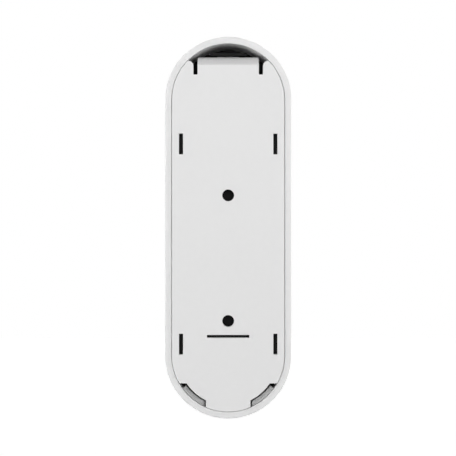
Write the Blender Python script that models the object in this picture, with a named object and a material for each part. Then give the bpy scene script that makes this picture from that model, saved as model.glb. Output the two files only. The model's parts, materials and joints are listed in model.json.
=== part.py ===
"""Battery video doorbell hanging on its wall plate.

The wall is the plane y = 0, the doorbell stands out from it towards -Y, and +Z is up.
The origin is the middle of the wall plate's back face. Metres.
"""

import math

import bmesh
import bpy
from mathutils import Matrix, Vector

MM = 0.001

# Overall size: a capsule with half-round ends
WIDTH = 47.0 * MM
HEIGHT = 142.0 * MM
DEPTH = 34.0 * MM
WALL = 2.4 * MM
FRONT_WALL = 2.8 * MM
EDGE_ROUND = 5.0 * MM
RIM_ROUND = 0.4 * MM
RIM_SETBACK = 0.4 * MM

# Clearances
GAP = 0.3 * MM
OVERLAP = 0.5 * MM

# Wall plate
PLATE_THICK = 2.2 * MM
CRESCENT = 4.4 * MM
TAB_HALF = 11.4 * MM
RELIEF_WIDE = 1.55 * MM
RELIEF_DEEP = 7.1 * MM
SHOULDER_HALF = 15.0 * MM
SHOULDER_ROUND = 1.9 * MM
BEND_OUTER = 3.5 * MM
SHELF_REACH = 10.0 * MM
LIP_THICK = 1.2 * MM
LIP_RISE = 1.2 * MM
LIP_HALF = 4.2 * MM
SCREW_HOLE = 4.3 * MM
UPPER_HOLE_Z = 12.1 * MM
LOWER_HOLE_Z = -34.5 * MM
FIN_SLOT_X = 17.55 * MM
FIN_SLOT_WIDE = 1.5 * MM
FIN_SLOT_LONG = 7.5 * MM
UPPER_FIN_Z = 31.1 * MM
LOWER_FIN_Z = -43.2 * MM
LATCH_SLOT_HALF = 7.75 * MM
LATCH_SLOT_TALL = 1.0 * MM
LATCH_SLOT_Z = -40.3 * MM
NOTCH_FLOOR = 2.15 * MM
NOTCH_TOP_DROP = 10.4 * MM
NOTCH_SIDE_X = 8.3 * MM

# Shell: nesting pads, ledges and screw bosses
PAD_BACK = 3.9 * MM
PAD_DEEP = 1.4 * MM
PAD_CLEAR = 1.0 * MM
PAD_TOP_ANGLE = 36.5
PAD_SIDE_CLEAR = 0.6 * MM
LEDGE_WIDE = 2.7 * MM
LEDGE_THICK = 1.5 * MM
SEAL_THICK = 0.6 * MM
SEAL_WIDE = 1.8 * MM
BOSS_RADIUS = 2.8 * MM
BOSS_LONG = 7.2 * MM
BOSS_INSET = 4.1 * MM
BOSS_ANGLE = -20.0
UPPER_BOSS_Z = 38.0 * MM
SCREW_SHANK = 2.0 * MM
SCREW_HEAD = 4.2 * MM
HEAD_THICK = 1.2 * MM
SCREW_LONG = 7.0 * MM

# Rear cover, its top pocket and the hook bar
COVER_DEEP = 5.6 * MM
COVER_THICK = 2.0 * MM
POCKET_BELOW_TAB = 7.2 * MM
PARTITION_THICK = 1.6 * MM
POCKET_FLOOR_Y = -16.0 * MM
POCKET_FLOOR_THICK = 1.3 * MM
BAR_TALL = 1.0 * MM
BAR_DEEP = 3.0 * MM
BAR_HALF = 6.9 * MM
WEB_WIDE = 2.0 * MM
FIN_THICK = 0.7 * MM
FIN_LONG = 6.9 * MM
FIN_INTO_PLATE = 1.2 * MM

# Snap latch
LATCH_HALF = 7.4 * MM
LATCH_LONG = 12.8 * MM
LATCH_THICK = 0.8 * MM
LATCH_TIP = 1.1 * MM
NIB_THICK = 0.45 * MM
NIB_INTO_PLATE = 0.8 * MM
NIB_DROP = 0.075 * MM

# Power: two 18650 cells in a tray
CELL_RADIUS = 9.15 * MM
CELL_LONG = 65.0 * MM
CELL_MIDDLE_Z = -1.5 * MM
CAP_RADIUS = 2.8 * MM
CAP_TALL = 1.0 * MM
STRIP_THICK = 0.3 * MM
STRIP_WIDE = 6.4 * MM
TRAY_THICK = 1.0 * MM
TRAY_WALL = 1.2 * MM
TRAY_WALL_TALL = 14.5 * MM
LEAD_RADIUS = 0.6 * MM
LEAD_X = 1.6 * MM
LEAD_RISE = 2.6 * MM
LEAD_STEPS = 12

# Boards
BOARD_THICK = 1.2 * MM
MAIN_BOARD_HALF = 17.4 * MM
PART_ROOM = 1.8 * MM
SHIELD_HALF = 12.0 * MM
SHIELD_LONG = 24.0 * MM
SHIELD_WALL = 0.4 * MM
CHIP_HALF = 5.0 * MM
CHIP_THICK = 0.7 * MM

# Camera
CAMERA_BOARD_HALF = 12.0 * MM
CAMERA_BOARD_Y = -13.0 * MM
CAMERA_BOARD_BELOW = 9.0 * MM
CAMERA_BOARD_ABOVE = 7.2 * MM
SENSOR_HALF = 4.0 * MM
SENSOR_THICK = 1.0 * MM
HOLDER_HALF = 7.1 * MM
HOLDER_LONG = 8.0 * MM
BARREL_RADIUS = 6.0 * MM
BARREL_BORE = 4.6 * MM
BARREL_HEAD_RADIUS = 7.0 * MM
BARREL_HEAD_LONG = 3.4 * MM
BARREL_HEAD_INTO_WALL = 0.8 * MM
REAR_LENS_THICK = 1.6 * MM
FRONT_LENS_RADIUS = 5.4 * MM
FRONT_LENS_DOME = 1.9 * MM
WINDOW_RADIUS = 7.6 * MM
WINDOW_THICK = 0.9 * MM
WINDOW_SUNK = 0.1 * MM
LED_BOARD_RADIUS = 15.5 * MM
LED_BOARD_THICK = 1.0 * MM
LED_OFFSET = 11.4 * MM
LED_RADIUS = 2.0 * MM
LED_BASE = 1.2 * MM
LED_DOME = 1.0 * MM
LED_ROOM = 2.0 * MM
EYE_HALF = 1.0 * MM
EYE_TALL = 0.8 * MM

# Front fascia and motion sensor
FASCIA_INSET = 6.0 * MM
FASCIA_LONG = 70.0 * MM
FASCIA_THICK = 1.1 * MM
FASCIA_SUNK = 0.1 * MM
MOTION_BELOW_TOP = 17.4 * MM
MOTION_RADIUS = 6.5 * MM
MOTION_FLANGE = 8.0 * MM
MOTION_FLANGE_THICK = 0.8 * MM
MOTION_WALL = 0.8 * MM
MOTION_PROUD = 0.6 * MM
MOTION_CAN_RADIUS = 4.6 * MM
MOTION_CAN_TALL = 2.6 * MM
MIC_X = 9.0 * MM
MIC_BELOW_TOP = 5.4 * MM
MIC_HOLE = 0.7 * MM
MIC_HALF = 1.9 * MM
MIC_TALL = 1.1 * MM

# Call button
BUTTON_RADIUS = 10.0 * MM
BUTTON_PROUD = 0.6 * MM
BUTTON_FLANGE = 1.3 * MM
BUTTON_FLANGE_THICK = 1.0 * MM
RING_WIDE = 2.0 * MM
RING_FLANGE = 1.5 * MM
RING_FLANGE_THICK = 0.8 * MM
BUTTON_SEAL_THICK = 1.0 * MM
BUTTON_TRAVEL = 0.6 * MM
BUTTON_EDGE = 0.8 * MM
BUTTON_DISH = 0.2 * MM
STEM_RADIUS = 2.2 * MM
STEM_LONG = 1.3 * MM
PLUNGER_RADIUS = 1.5 * MM
PLUNGER_PROUD = 1.2 * MM
PLUNGER_SUNK = 0.9 * MM
SWITCH_HALF = 3.0 * MM
SWITCH_TALL = 2.9 * MM
BUTTON_BOARD_HALF = 6.0 * MM

# Speaker, charging port and reset button
SPEAKER_HALF = 9.0 * MM
SPEAKER_CLEAR = 0.6 * MM
SPEAKER_BACK_Y = -17.5 * MM
SPEAKER_DEEP = 12.0 * MM
SPEAKER_RIM = 1.0 * MM
GRILLE_SLOTS = 5
GRILLE_PITCH = 2.2 * MM
GRILLE_WIDE = 1.1 * MM
GRILLE_HALF = 5.0 * MM
PORT_Y = -12.0 * MM
PORT_HALF = 4.5 * MM
PORT_HALF_DEEP = 1.6 * MM
PORT_LONG = 7.3 * MM
PORT_WALL = 0.4 * MM
TONGUE_HALF = 3.3 * MM
TONGUE_THICK = 0.7 * MM
PORT_BOARD_HALF = 8.0 * MM
PORT_BOARD_LONG = 13.0 * MM
PORT_BOARD_THICK = 1.0 * MM
PORT_BACK_THICK = 1.0 * MM
TONGUE_SUNK = 1.0 * MM
FLAP_HALF = 6.2 * MM
FLAP_HALF_DEEP = 3.0 * MM
FLAP_THICK = 1.15 * MM
FLAP_SUNK = 0.15 * MM
FLAP_NUB_HALF = 4.0 * MM
FLAP_NUB_HALF_DEEP = 1.1 * MM
FLAP_NUB_TALL = 1.3 * MM
FLAP_STRAP = 0.5 * MM
RESET_X = 6.0 * MM
RESET_BELOW = 3.5 * MM
RESET_RADIUS = 2.0 * MM
RESET_PROUD = 0.7 * MM
RESET_FLANGE = 1.0 * MM
RESET_FLANGE_THICK = 0.7 * MM
RESET_TRAVEL = 0.5 * MM
RESET_SWITCH_HALF = 2.2 * MM
RESET_SWITCH_TALL = 1.8 * MM
ANTENNA_THICK = 0.4 * MM
ANTENNA_WIDE = 8.0 * MM
ANTENNA_LONG = 30.0 * MM

# Facets
END_STEPS = 24
ROUND_STEPS = 32
SMALL_STEPS = 16
FILLET_STEPS = 4

# Worked out from the sizes above
END_R = WIDTH / 2
END_Z = HEIGHT / 2 - END_R
INNER_R = END_R - WALL
FRONT_Y = -DEPTH
INNER_FRONT_Y = FRONT_Y + FRONT_WALL
PLATE_R = INNER_R - GAP
TAB_TOP = HEIGHT / 2 - WALL - CRESCENT
COVER_Y = -COVER_DEEP
COVER_FRONT_Y = COVER_Y - COVER_THICK
LEDGE_Y = COVER_FRONT_Y - 2 * GAP - SEAL_THICK
POCKET_Z = TAB_TOP - POCKET_BELOW_TAB
PARTITION_Z = POCKET_Z - PARTITION_THICK
POCKET_FRONT_Y = POCKET_FLOOR_Y - POCKET_FLOOR_THICK
CELL_X = CELL_RADIUS + GAP
CELL_Y = COVER_FRONT_Y - GAP - CELL_RADIUS
CELL_TOP_Z = CELL_MIDDLE_Z + CELL_LONG / 2
CELL_BOTTOM_Z = CELL_TOP_Z - CELL_LONG
TRAY_Y = CELL_Y - CELL_RADIUS - GAP
TRAY_TOP_Z = CELL_TOP_Z + 2 * GAP + STRIP_THICK + TRAY_WALL
TRAY_BOTTOM_Z = CELL_BOTTOM_Z - 2 * GAP - STRIP_THICK - TRAY_WALL
MAIN_BOARD_FRONT_Y = INNER_FRONT_Y + GAP + PART_ROOM
MAIN_BOARD_Y = MAIN_BOARD_FRONT_Y + BOARD_THICK
CAMERA_Z = END_Z
BUTTON_Z = -END_Z
LED_BOARD_FRONT_Y = INNER_FRONT_Y + LED_ROOM
RING_RADIUS = BUTTON_RADIUS + GAP + RING_WIDE
RING_FLANGE_R = RING_RADIUS + RING_FLANGE
RING_FLANGE_Y = INNER_FRONT_Y + GAP
BUTTON_SEAL_Y = RING_FLANGE_Y + RING_FLANGE_THICK + GAP
BUTTON_BACK_Y = BUTTON_SEAL_Y + BUTTON_FLANGE_THICK
STEM_Y = BUTTON_BACK_Y + STEM_LONG
SWITCH_Y = STEM_Y + GAP + PLUNGER_PROUD
BUTTON_BOARD_FRONT_Y = SWITCH_Y + SWITCH_TALL + GAP
PLUNGER_WELL = PLUNGER_SUNK + BUTTON_TRAVEL + GAP
FASCIA_R = END_R - FASCIA_INSET
FASCIA_LOW_Z = END_Z + FASCIA_R - FASCIA_LONG + FASCIA_R
MAIN_BOARD_TOP_Z = CAMERA_Z - LED_BOARD_RADIUS - 2 * GAP
MOTION_Z = MAIN_BOARD_TOP_Z - MOTION_BELOW_TOP
MIC_Z = MAIN_BOARD_TOP_Z - MIC_BELOW_TOP
RESET_Z = CAMERA_Z - RESET_BELOW
FASCIA_FRONT_Y = FRONT_Y + FASCIA_SUNK
FASCIA_BACK_Y = FASCIA_FRONT_Y + FASCIA_THICK
FLAP_OUTER_R = END_R - FLAP_SUNK
FLAP_INNER_R = FLAP_OUTER_R - FLAP_THICK
FLAP_FRONT_Y = PORT_Y - FLAP_HALF_DEEP - FLAP_STRAP
PORT_MOUTH_Z = -END_Z - FLAP_INNER_R + FLAP_NUB_TALL + GAP
SPEAKER_TOP_Z = -END_Z - RING_FLANGE_R - 3 * GAP
SPEAKER_LOW_Z = -END_Z - math.sqrt(INNER_R**2 - SPEAKER_HALF**2) + SPEAKER_CLEAR
PORT_BOARD_Z = -END_Z - math.sqrt(INNER_R**2 - PORT_BOARD_HALF**2) + GAP
HINGE_Z = HEIGHT / 2
LATCH_NIB_Z = LATCH_SLOT_Z - NIB_DROP
LATCH_Y = COVER_Y + GAP
LATCH_TOP_Z = LATCH_NIB_Z + NIB_THICK / 2 + LATCH_TIP
LATCH_AXIS_Z = LATCH_TOP_Z - LATCH_LONG + LATCH_THICK / 2
LATCH_AXIS_Y = LATCH_Y + LATCH_THICK / 2

ACROSS = {"X": (1, 2, 0), "Y": (0, 2, 1), "Z": (0, 1, 2)}


def clear_scene():
    for obj in list(bpy.data.objects):
        bpy.data.objects.remove(obj, do_unlink=True)


def finish(name, colour, roughness, metallic=0.0):
    """A plain material of one colour."""
    material = bpy.data.materials.new(name)
    material.use_nodes = True
    shader = material.node_tree.nodes["Principled BSDF"]
    shader.inputs["Base Color"].default_value = (*colour, 1.0)
    shader.inputs["Roughness"].default_value = roughness
    shader.inputs["Metallic"].default_value = metallic
    return material


def spot(across, upward, along, axis):
    """A point given as two distances across an axis and one along it."""
    point = [0.0, 0.0, 0.0]
    for value, index in zip((across, upward, along), ACROSS[axis]):
        point[index] = value
    return Vector(point)


def arc(centre, radius, start, end, steps):
    """Points on an arc, from one angle to another in degrees, both ends included."""
    angles = [math.radians(start + (end - start) * i / steps) for i in range(steps + 1)]
    return [(centre[0] + radius * math.cos(a), centre[1] + radius * math.sin(a)) for a in angles]


def circle(centre, radius, steps=SMALL_STEPS):
    return arc(centre, radius, 0.0, 360.0, steps)[:-1]


def rectangle(low_u, high_u, low_v, high_v):
    return [(low_u, low_v), (high_u, low_v), (high_u, high_v), (low_u, high_v)]


def capsule(radius, top=END_Z, bottom=-END_Z, steps=END_STEPS):
    """The outline of a bar with half-round ends, centred on x = 0."""
    upper = arc((0.0, top), radius, 0.0, 180.0, steps)
    return upper + arc((0.0, bottom), radius, 180.0, 360.0, steps)


def band(outer, inner, centre, start, end, steps):
    """A piece of a flat ring between two angles."""
    outside = arc(centre, outer, start, end, steps)
    return outside + arc(centre, inner, end, start, steps)


def horseshoe(outer, inner, top_z):
    """A capsule-shaped band, open at the top above the given height."""

    def path(radius):
        rise = math.degrees(math.asin((top_z - END_Z) / radius))
        right = arc((0.0, END_Z), radius, rise, 0.0, END_STEPS // 4)
        low = arc((0.0, -END_Z), radius, 0.0, -180.0, END_STEPS)
        return right + low + arc((0.0, END_Z), radius, 180.0, 180.0 - rise, END_STEPS // 4)

    return path(outer) + path(inner)[::-1]


def shifted(outline, du, dv):
    return [(u + du, v + dv) for u, v in outline]


def mirrored(outline):
    """The same outline on the other side of u = 0."""
    return [(-u, v) for u, v in reversed(outline)]


def mesh_of(name, loops, axis, ring):
    """A closed mesh through the loops, which all have as many points. A ring has no caps."""
    build = bmesh.new()
    rows = [[build.verts.new(spot(u, v, along, axis)) for u, v in loop] for loop, along in loops]
    pairs = list(zip(rows, rows[1:]))
    if ring:
        pairs.append((rows[-1], rows[0]))
    else:
        build.faces.new(rows[0])
        build.faces.new(rows[-1])
    for one, other in pairs:
        for i, corner in enumerate(one):
            j = (i + 1) % len(one)
            build.faces.new((corner, one[j], other[j], other[i]))
    bmesh.ops.recalc_face_normals(build, faces=build.faces)
    mesh = bpy.data.meshes.new(name)
    build.to_mesh(mesh)
    build.free()
    return mesh


def piece(name, loops, look, body, axis="Y", ring=False, origin=None):
    """An object of a body. Loops are (outline, distance along the axis), in world places."""
    origin = Vector(origin) if origin else body.location.copy()
    mesh = mesh_of(name, loops, axis, ring)
    mesh.transform(Matrix.Translation(-origin))
    mesh.materials.append(look)
    mesh.shade_smooth()
    mesh.set_sharp_from_angle(angle=math.radians(35.0))
    obj = bpy.data.objects.new(name, mesh)
    bpy.context.scene.collection.objects.link(obj)
    obj.parent = body
    obj.location = origin - body.matrix_world.translation
    return obj


def slab(outline, one_end, other_end):
    """Loops of a straight extrusion."""
    return [(outline, one_end), (outline, other_end)]


def turned(centre, profile, steps=ROUND_STEPS):
    """Loops of a turned shape, from (radius, distance along) pairs."""
    return [(circle(centre, radius, steps), along) for radius, along in profile]


def twin(obj, name, dx):
    """A second object with the same mesh, moved across."""
    other = bpy.data.objects.new(name, obj.data)
    bpy.context.scene.collection.objects.link(other)
    other.parent = obj.parent
    other.location = obj.location + Vector((dx, 0.0, 0.0))
    return other


def combine(target, other, operation):
    """Cuts another shape from an object or joins it on, and keeps that shape as a helper."""
    other.hide_render = True
    other.display_type = "WIRE"
    modifier = target.modifiers.new(other.name, "BOOLEAN")
    modifier.operation = operation
    modifier.solver = "EXACT"
    modifier.object = other


def cut(target, name, loops, axis="Y", ring=False):
    helper = piece(f"{target.name}_{name}", loops, target.data.materials[0], target.parent, axis, ring)
    combine(target, helper, "DIFFERENCE")


def join(target, name, loops, axis="Y", ring=False):
    helper = piece(f"{target.name}_{name}", loops, target.data.materials[0], target.parent, axis, ring)
    combine(target, helper, "UNION")


def pivot(name, location):
    """An empty on a joint's axis, which its pieces hang from."""
    empty = bpy.data.objects.new(name, None)
    empty.empty_display_size = 0.01
    empty.location = location
    bpy.context.scene.collection.objects.link(empty)
    bpy.context.view_layer.update()
    return empty


def plate_outline():
    """The flat of the wall plate, with the tab's relief slots and the notches for the shell's pads."""
    shoulder_z = END_Z + math.sqrt(PLATE_R**2 - SHOULDER_HALF**2)
    slot_x = TAB_HALF + RELIEF_WIDE
    slot_z = TAB_TOP - RELIEF_DEEP
    corner = (slot_x + SHOULDER_ROUND, shoulder_z - SHOULDER_ROUND)
    rise = math.degrees(math.acos(SHOULDER_HALF / PLATE_R))
    notch_r = PLATE_R - NOTCH_FLOOR
    notch_start = -math.degrees(math.asin(NOTCH_TOP_DROP / PLATE_R))
    floor_start = -math.degrees(math.asin(NOTCH_TOP_DROP / notch_r))
    floor_end = -math.degrees(math.acos(NOTCH_SIDE_X / notch_r))
    side_end = -math.degrees(math.acos(NOTCH_SIDE_X / PLATE_R))
    low = (0.0, -END_Z)
    right = [(TAB_HALF, TAB_TOP - BEND_OUTER), (TAB_HALF, slot_z), (slot_x, slot_z)]
    right += arc(corner, SHOULDER_ROUND, 180.0, 90.0, FILLET_STEPS)
    right += arc((0.0, END_Z), PLATE_R, rise, 0.0, END_STEPS // 4)
    right += arc(low, PLATE_R, 0.0, notch_start, END_STEPS // 6)
    right += arc(low, notch_r, floor_start, floor_end, END_STEPS // 6)
    right += arc(low, PLATE_R, side_end, -88.0, END_STEPS // 6)
    return right + mirrored(right)


def hook_profile():
    """The tab's side view, bent forward into the shelf that the doorbell hangs on, as (y, z)."""
    centre = (-BEND_OUTER, TAB_TOP - BEND_OUTER)
    inner = BEND_OUTER - PLATE_THICK
    outside = arc(centre, BEND_OUTER, 0.0, 90.0, 6)
    inside = arc(centre, inner, 90.0, 0.0, 6)
    low = TAB_TOP - BEND_OUTER - OVERLAP
    shelf = [(-SHELF_REACH, TAB_TOP), (-SHELF_REACH, TAB_TOP - PLATE_THICK)]
    return [(0.0, low)] + outside + shelf + inside + [(-PLATE_THICK, low)]


def make_wall_plate(body, look):
    plate = piece("wall_plate", slab(plate_outline(), 0.0, -PLATE_THICK), look, body)
    join(plate, "hook", slab(hook_profile(), -TAB_HALF, TAB_HALF), "X")
    shelf_bottom = TAB_TOP - PLATE_THICK
    lip = rectangle(-SHELF_REACH - LIP_THICK, -SHELF_REACH + OVERLAP, shelf_bottom, TAB_TOP + LIP_RISE)
    join(plate, "lip", slab(lip, -LIP_HALF, LIP_HALF), "X")
    through = (OVERLAP, -PLATE_THICK - OVERLAP)
    for name, z in (("upper_hole", UPPER_HOLE_Z), ("lower_hole", LOWER_HOLE_Z)):
        cut(plate, name, slab(circle((0.0, z), SCREW_HOLE / 2, 24), *through))
    for side in (-1, 1):
        for name, z in (("upper", UPPER_FIN_Z), ("lower", LOWER_FIN_Z)):
            x = side * FIN_SLOT_X
            edge = FIN_SLOT_WIDE / 2
            half = FIN_SLOT_LONG / 2
            slot = rectangle(x - edge, x + edge, z - half, z + half)
            cut(plate, f"{name}_slot_{side}", slab(slot, *through))
    half = LATCH_SLOT_TALL / 2
    slot = rectangle(-LATCH_SLOT_HALF, LATCH_SLOT_HALF, LATCH_SLOT_Z - half, LATCH_SLOT_Z + half)
    cut(plate, "latch_slot", slab(slot, *through))


def boss_places():
    """The four cover screws as (x, z)."""
    reach = INNER_R - BOSS_INSET
    turn = math.radians(BOSS_ANGLE)
    low = (reach * math.cos(turn), -END_Z + reach * math.sin(turn))
    return [(side * x, z) for side in (-1, 1) for x, z in ((reach, UPPER_BOSS_Z), low)]


def make_shell(body, look):
    """The white sleeve and front face in one piece."""
    back = -RIM_SETBACK
    profile = [(INNER_R, INNER_FRONT_Y), (INNER_R, back), (END_R - RIM_ROUND, back)]
    rim = arc((END_R - RIM_ROUND, back - RIM_ROUND), RIM_ROUND, 60.0, 0.0, 2)
    edge = arc((END_R - EDGE_ROUND, FRONT_Y + EDGE_ROUND), EDGE_ROUND, 0.0, -90.0, 6)
    loops = [(capsule(radius), y) for radius, y in profile + rim + edge]
    shell = piece("outer_shell", loops, look, body)
    anchor_r = INNER_R + OVERLAP
    ledge = horseshoe(anchor_r, INNER_R - LEDGE_WIDE, PARTITION_Z - 2 * GAP)
    join(shell, "ledge", slab(ledge, LEDGE_Y, LEDGE_Y - LEDGE_THICK))
    top = band(anchor_r, INNER_R - LEDGE_WIDE / 2, (0.0, END_Z), 25.0, 155.0, END_STEPS)
    top_y = POCKET_FRONT_Y - 2 * GAP - SEAL_THICK
    join(shell, "pocket_ledge", slab(top, top_y, top_y - LEDGE_THICK))
    for side in (-1, 1):
        pad = pad_outline()
        pad = pad if side > 0 else mirrored(pad)
        join(shell, f"pad_{side}", slab(pad, -PAD_BACK, -PAD_BACK - PAD_DEEP))
    for i, place in enumerate(boss_places()):
        join(shell, f"boss_{i}", slab(circle(place, BOSS_RADIUS), LEDGE_Y, LEDGE_Y - BOSS_LONG))
        pilot = circle(place, SCREW_SHANK / 2 + GAP, 12)
        cut(shell, f"pilot_{i}", slab(pilot, LEDGE_Y + OVERLAP, LEDGE_Y - BOSS_LONG + OVERLAP))
    cut_front(shell)
    cut_underside(shell)


def pad_outline():
    """A nesting pad on the inside of the shell, below one shoulder of the plate's notch."""
    low = (0.0, -END_Z)
    inner = PLATE_R - NOTCH_FLOOR + PAD_CLEAR
    side = NOTCH_SIDE_X + PAD_SIDE_CLEAR
    outer = INNER_R + OVERLAP
    outer_end = -math.degrees(math.acos(side / outer))
    inner_end = -math.degrees(math.acos(side / inner))
    outside = arc(low, outer, -PAD_TOP_ANGLE, outer_end, END_STEPS // 4)
    return outside + arc(low, inner, inner_end, -PAD_TOP_ANGLE, END_STEPS // 4)


def cut_front(shell):
    """The fascia's recess, and the holes behind it and for the button."""
    through = (FRONT_Y - OVERLAP, INNER_FRONT_Y + OVERLAP)
    recess = capsule(FASCIA_R + GAP, END_Z, FASCIA_LOW_Z)
    cut(shell, "recess", slab(recess, FRONT_Y - OVERLAP, FASCIA_BACK_Y + GAP))
    cut(shell, "button_hole", slab(circle((0.0, BUTTON_Z), RING_RADIUS + GAP, ROUND_STEPS), *through))
    head = circle((0.0, CAMERA_Z), BARREL_HEAD_RADIUS + 2 * GAP, ROUND_STEPS)
    cut(shell, "camera_hole", slab(head, *through))
    cut(shell, "motion_hole", slab(circle((0.0, MOTION_Z), MOTION_RADIUS + GAP, ROUND_STEPS), *through))
    cut(shell, "mic_hole", slab(circle((MIC_X, MIC_Z), MIC_HOLE, 8), *through))
    for side in (-1, 1):
        hole = circle((side * LED_OFFSET, CAMERA_Z), LED_RADIUS + 2 * GAP)
        cut(shell, f"led_hole_{side}", slab(hole, *through))
    eye = circle((0.0, CAMERA_Z - LED_OFFSET), LED_RADIUS, 12)
    cut(shell, "light_hole", slab(eye, *through))


def cut_underside(shell):
    """Speaker slots, and the charging port's recess and opening."""
    bottom = (-END_Z - END_R - OVERLAP, -END_Z - INNER_R + 2 * OVERLAP)
    middle = SPEAKER_BACK_Y - SPEAKER_DEEP / 2
    for i in range(GRILLE_SLOTS):
        y = middle + (i - (GRILLE_SLOTS - 1) / 2) * GRILLE_PITCH
        slot = rectangle(-GRILLE_HALF, GRILLE_HALF, y - GRILLE_WIDE / 2, y + GRILLE_WIDE / 2)
        cut(shell, f"grille_{i}", slab(slot, *bottom), "Z")
    half = FLAP_HALF + GAP
    turn = math.degrees(math.asin(half / END_R))
    recess = band(END_R + OVERLAP, FLAP_INNER_R - GAP, (0.0, -END_Z), -90.0 - turn, -90.0 + turn, 8)
    back = PORT_Y + FLAP_HALF_DEEP + GAP
    cut(shell, "port_recess", slab(recess, FLAP_FRONT_Y - GAP, back))
    wide = PORT_HALF + GAP
    deep = PORT_HALF_DEEP + GAP
    opening = rectangle(-wide, wide, PORT_Y - deep, PORT_Y + deep)
    cut(shell, "port_opening", slab(opening, *bottom), "Z")


def make_rear_cover(body, look):
    """The black inner back, with the top pocket, the hook bar, the fins and the latch's window."""
    radius = INNER_R - GAP
    cut_angle = math.degrees(math.asin((POCKET_Z - END_Z) / radius))
    side = arc((0.0, END_Z), radius, cut_angle, 0.0, END_STEPS // 4)
    low = arc((0.0, -END_Z), radius, 0.0, -180.0, END_STEPS)
    outline = side + low + arc((0.0, END_Z), radius, 180.0, 180.0 - cut_angle, END_STEPS // 4)
    cover = piece("rear_cover", slab(outline, COVER_Y, COVER_FRONT_Y), look, body)
    low_angle = math.degrees(math.asin((PARTITION_Z - END_Z) / radius))
    reach = radius * math.cos(math.radians(cut_angle))
    wall = rectangle(-reach, reach, PARTITION_Z, POCKET_Z)
    join(cover, "partition", slab(wall, COVER_Y - GAP, POCKET_FRONT_Y))
    floor = arc((0.0, END_Z), radius, low_angle, 180.0 - low_angle, END_STEPS)
    join(cover, "pocket_floor", slab(floor, POCKET_FLOOR_Y, POCKET_FRONT_Y))
    bar_low = TAB_TOP + GAP
    bar = rectangle(-BAR_HALF, BAR_HALF, bar_low, bar_low + BAR_TALL)
    join(cover, "hook_bar", slab(bar, COVER_Y, COVER_Y - BAR_DEEP))
    for turn in (-1, 1):
        edges = sorted((turn * BAR_HALF, turn * (BAR_HALF - WEB_WIDE)))
        web = rectangle(*edges, bar_low, bar_low + BAR_TALL)
        join(cover, f"web_{turn}", slab(web, COVER_Y - OVERLAP, POCKET_FLOOR_Y - OVERLAP))
        for name, z in (("upper", UPPER_FIN_Z), ("lower", LOWER_FIN_Z)):
            x = turn * FIN_SLOT_X
            fin = rectangle(x - FIN_THICK / 2, x + FIN_THICK / 2, z - FIN_LONG / 2, z + FIN_LONG / 2)
            join(cover, f"{name}_fin_{turn}", slab(fin, -PLATE_THICK + FIN_INTO_PLATE, COVER_Y - OVERLAP))
    through = (COVER_Y + OVERLAP, COVER_FRONT_Y - OVERLAP)
    for i, place in enumerate(boss_places()):
        cut(cover, f"screw_hole_{i}", slab(circle(place, SCREW_SHANK / 2 + GAP, 12), *through))
    reset = circle((RESET_X, RESET_Z), RESET_RADIUS + GAP)
    cut(cover, "reset_hole", slab(reset, *through))
    half = LATCH_HALF + 2 * GAP
    window = rectangle(-half, half, LATCH_TOP_Z - LATCH_LONG - GAP, LATCH_TOP_Z + 2 * GAP)
    cut(cover, "latch_window", slab(window, *through))


def make_latch(body, look):
    """The springy tongue whose nib snaps into the plate's long slot."""
    low = LATCH_TOP_Z - LATCH_LONG
    leaf = rectangle(LATCH_Y, LATCH_Y + LATCH_THICK, low, LATCH_TOP_Z)
    tongue = piece("snap_latch", slab(leaf, -LATCH_HALF, LATCH_HALF), look, body, "X")
    half = NIB_THICK / 2
    nib = rectangle(
        LATCH_Y + LATCH_THICK - OVERLAP, -PLATE_THICK + NIB_INTO_PLATE, LATCH_NIB_Z - half, LATCH_NIB_Z + half
    )
    join(tongue, "nib", slab(nib, -LATCH_HALF + OVERLAP, LATCH_HALF - OVERLAP), "X")


def make_seals(body, look):
    outer = INNER_R - 2 * GAP
    ring = horseshoe(outer, outer - SEAL_WIDE, PARTITION_Z - 2 * GAP)
    seal_y = COVER_FRONT_Y - GAP
    piece("rear_seal", slab(ring, seal_y, seal_y - SEAL_THICK), look, body)
    top = band(outer, outer - SEAL_WIDE / 2, (0.0, END_Z), 26.0, 154.0, END_STEPS)
    top_y = POCKET_FRONT_Y - GAP
    piece("pocket_seal", slab(top, top_y, top_y - SEAL_THICK), look, body)


def make_cover_screws(body, look):
    """Each screw is a piece of its own, head against the cover's back."""
    for i, place in enumerate(boss_places()):
        seat = COVER_Y + GAP
        profile = [(SCREW_HEAD / 2, seat + HEAD_THICK), (SCREW_HEAD / 2, seat), (SCREW_SHANK / 2, seat)]
        profile.append((SCREW_SHANK / 2, COVER_Y - SCREW_LONG))
        piece(f"cover_screw_{i + 1}", turned(place, profile, 12), look, body)


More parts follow.
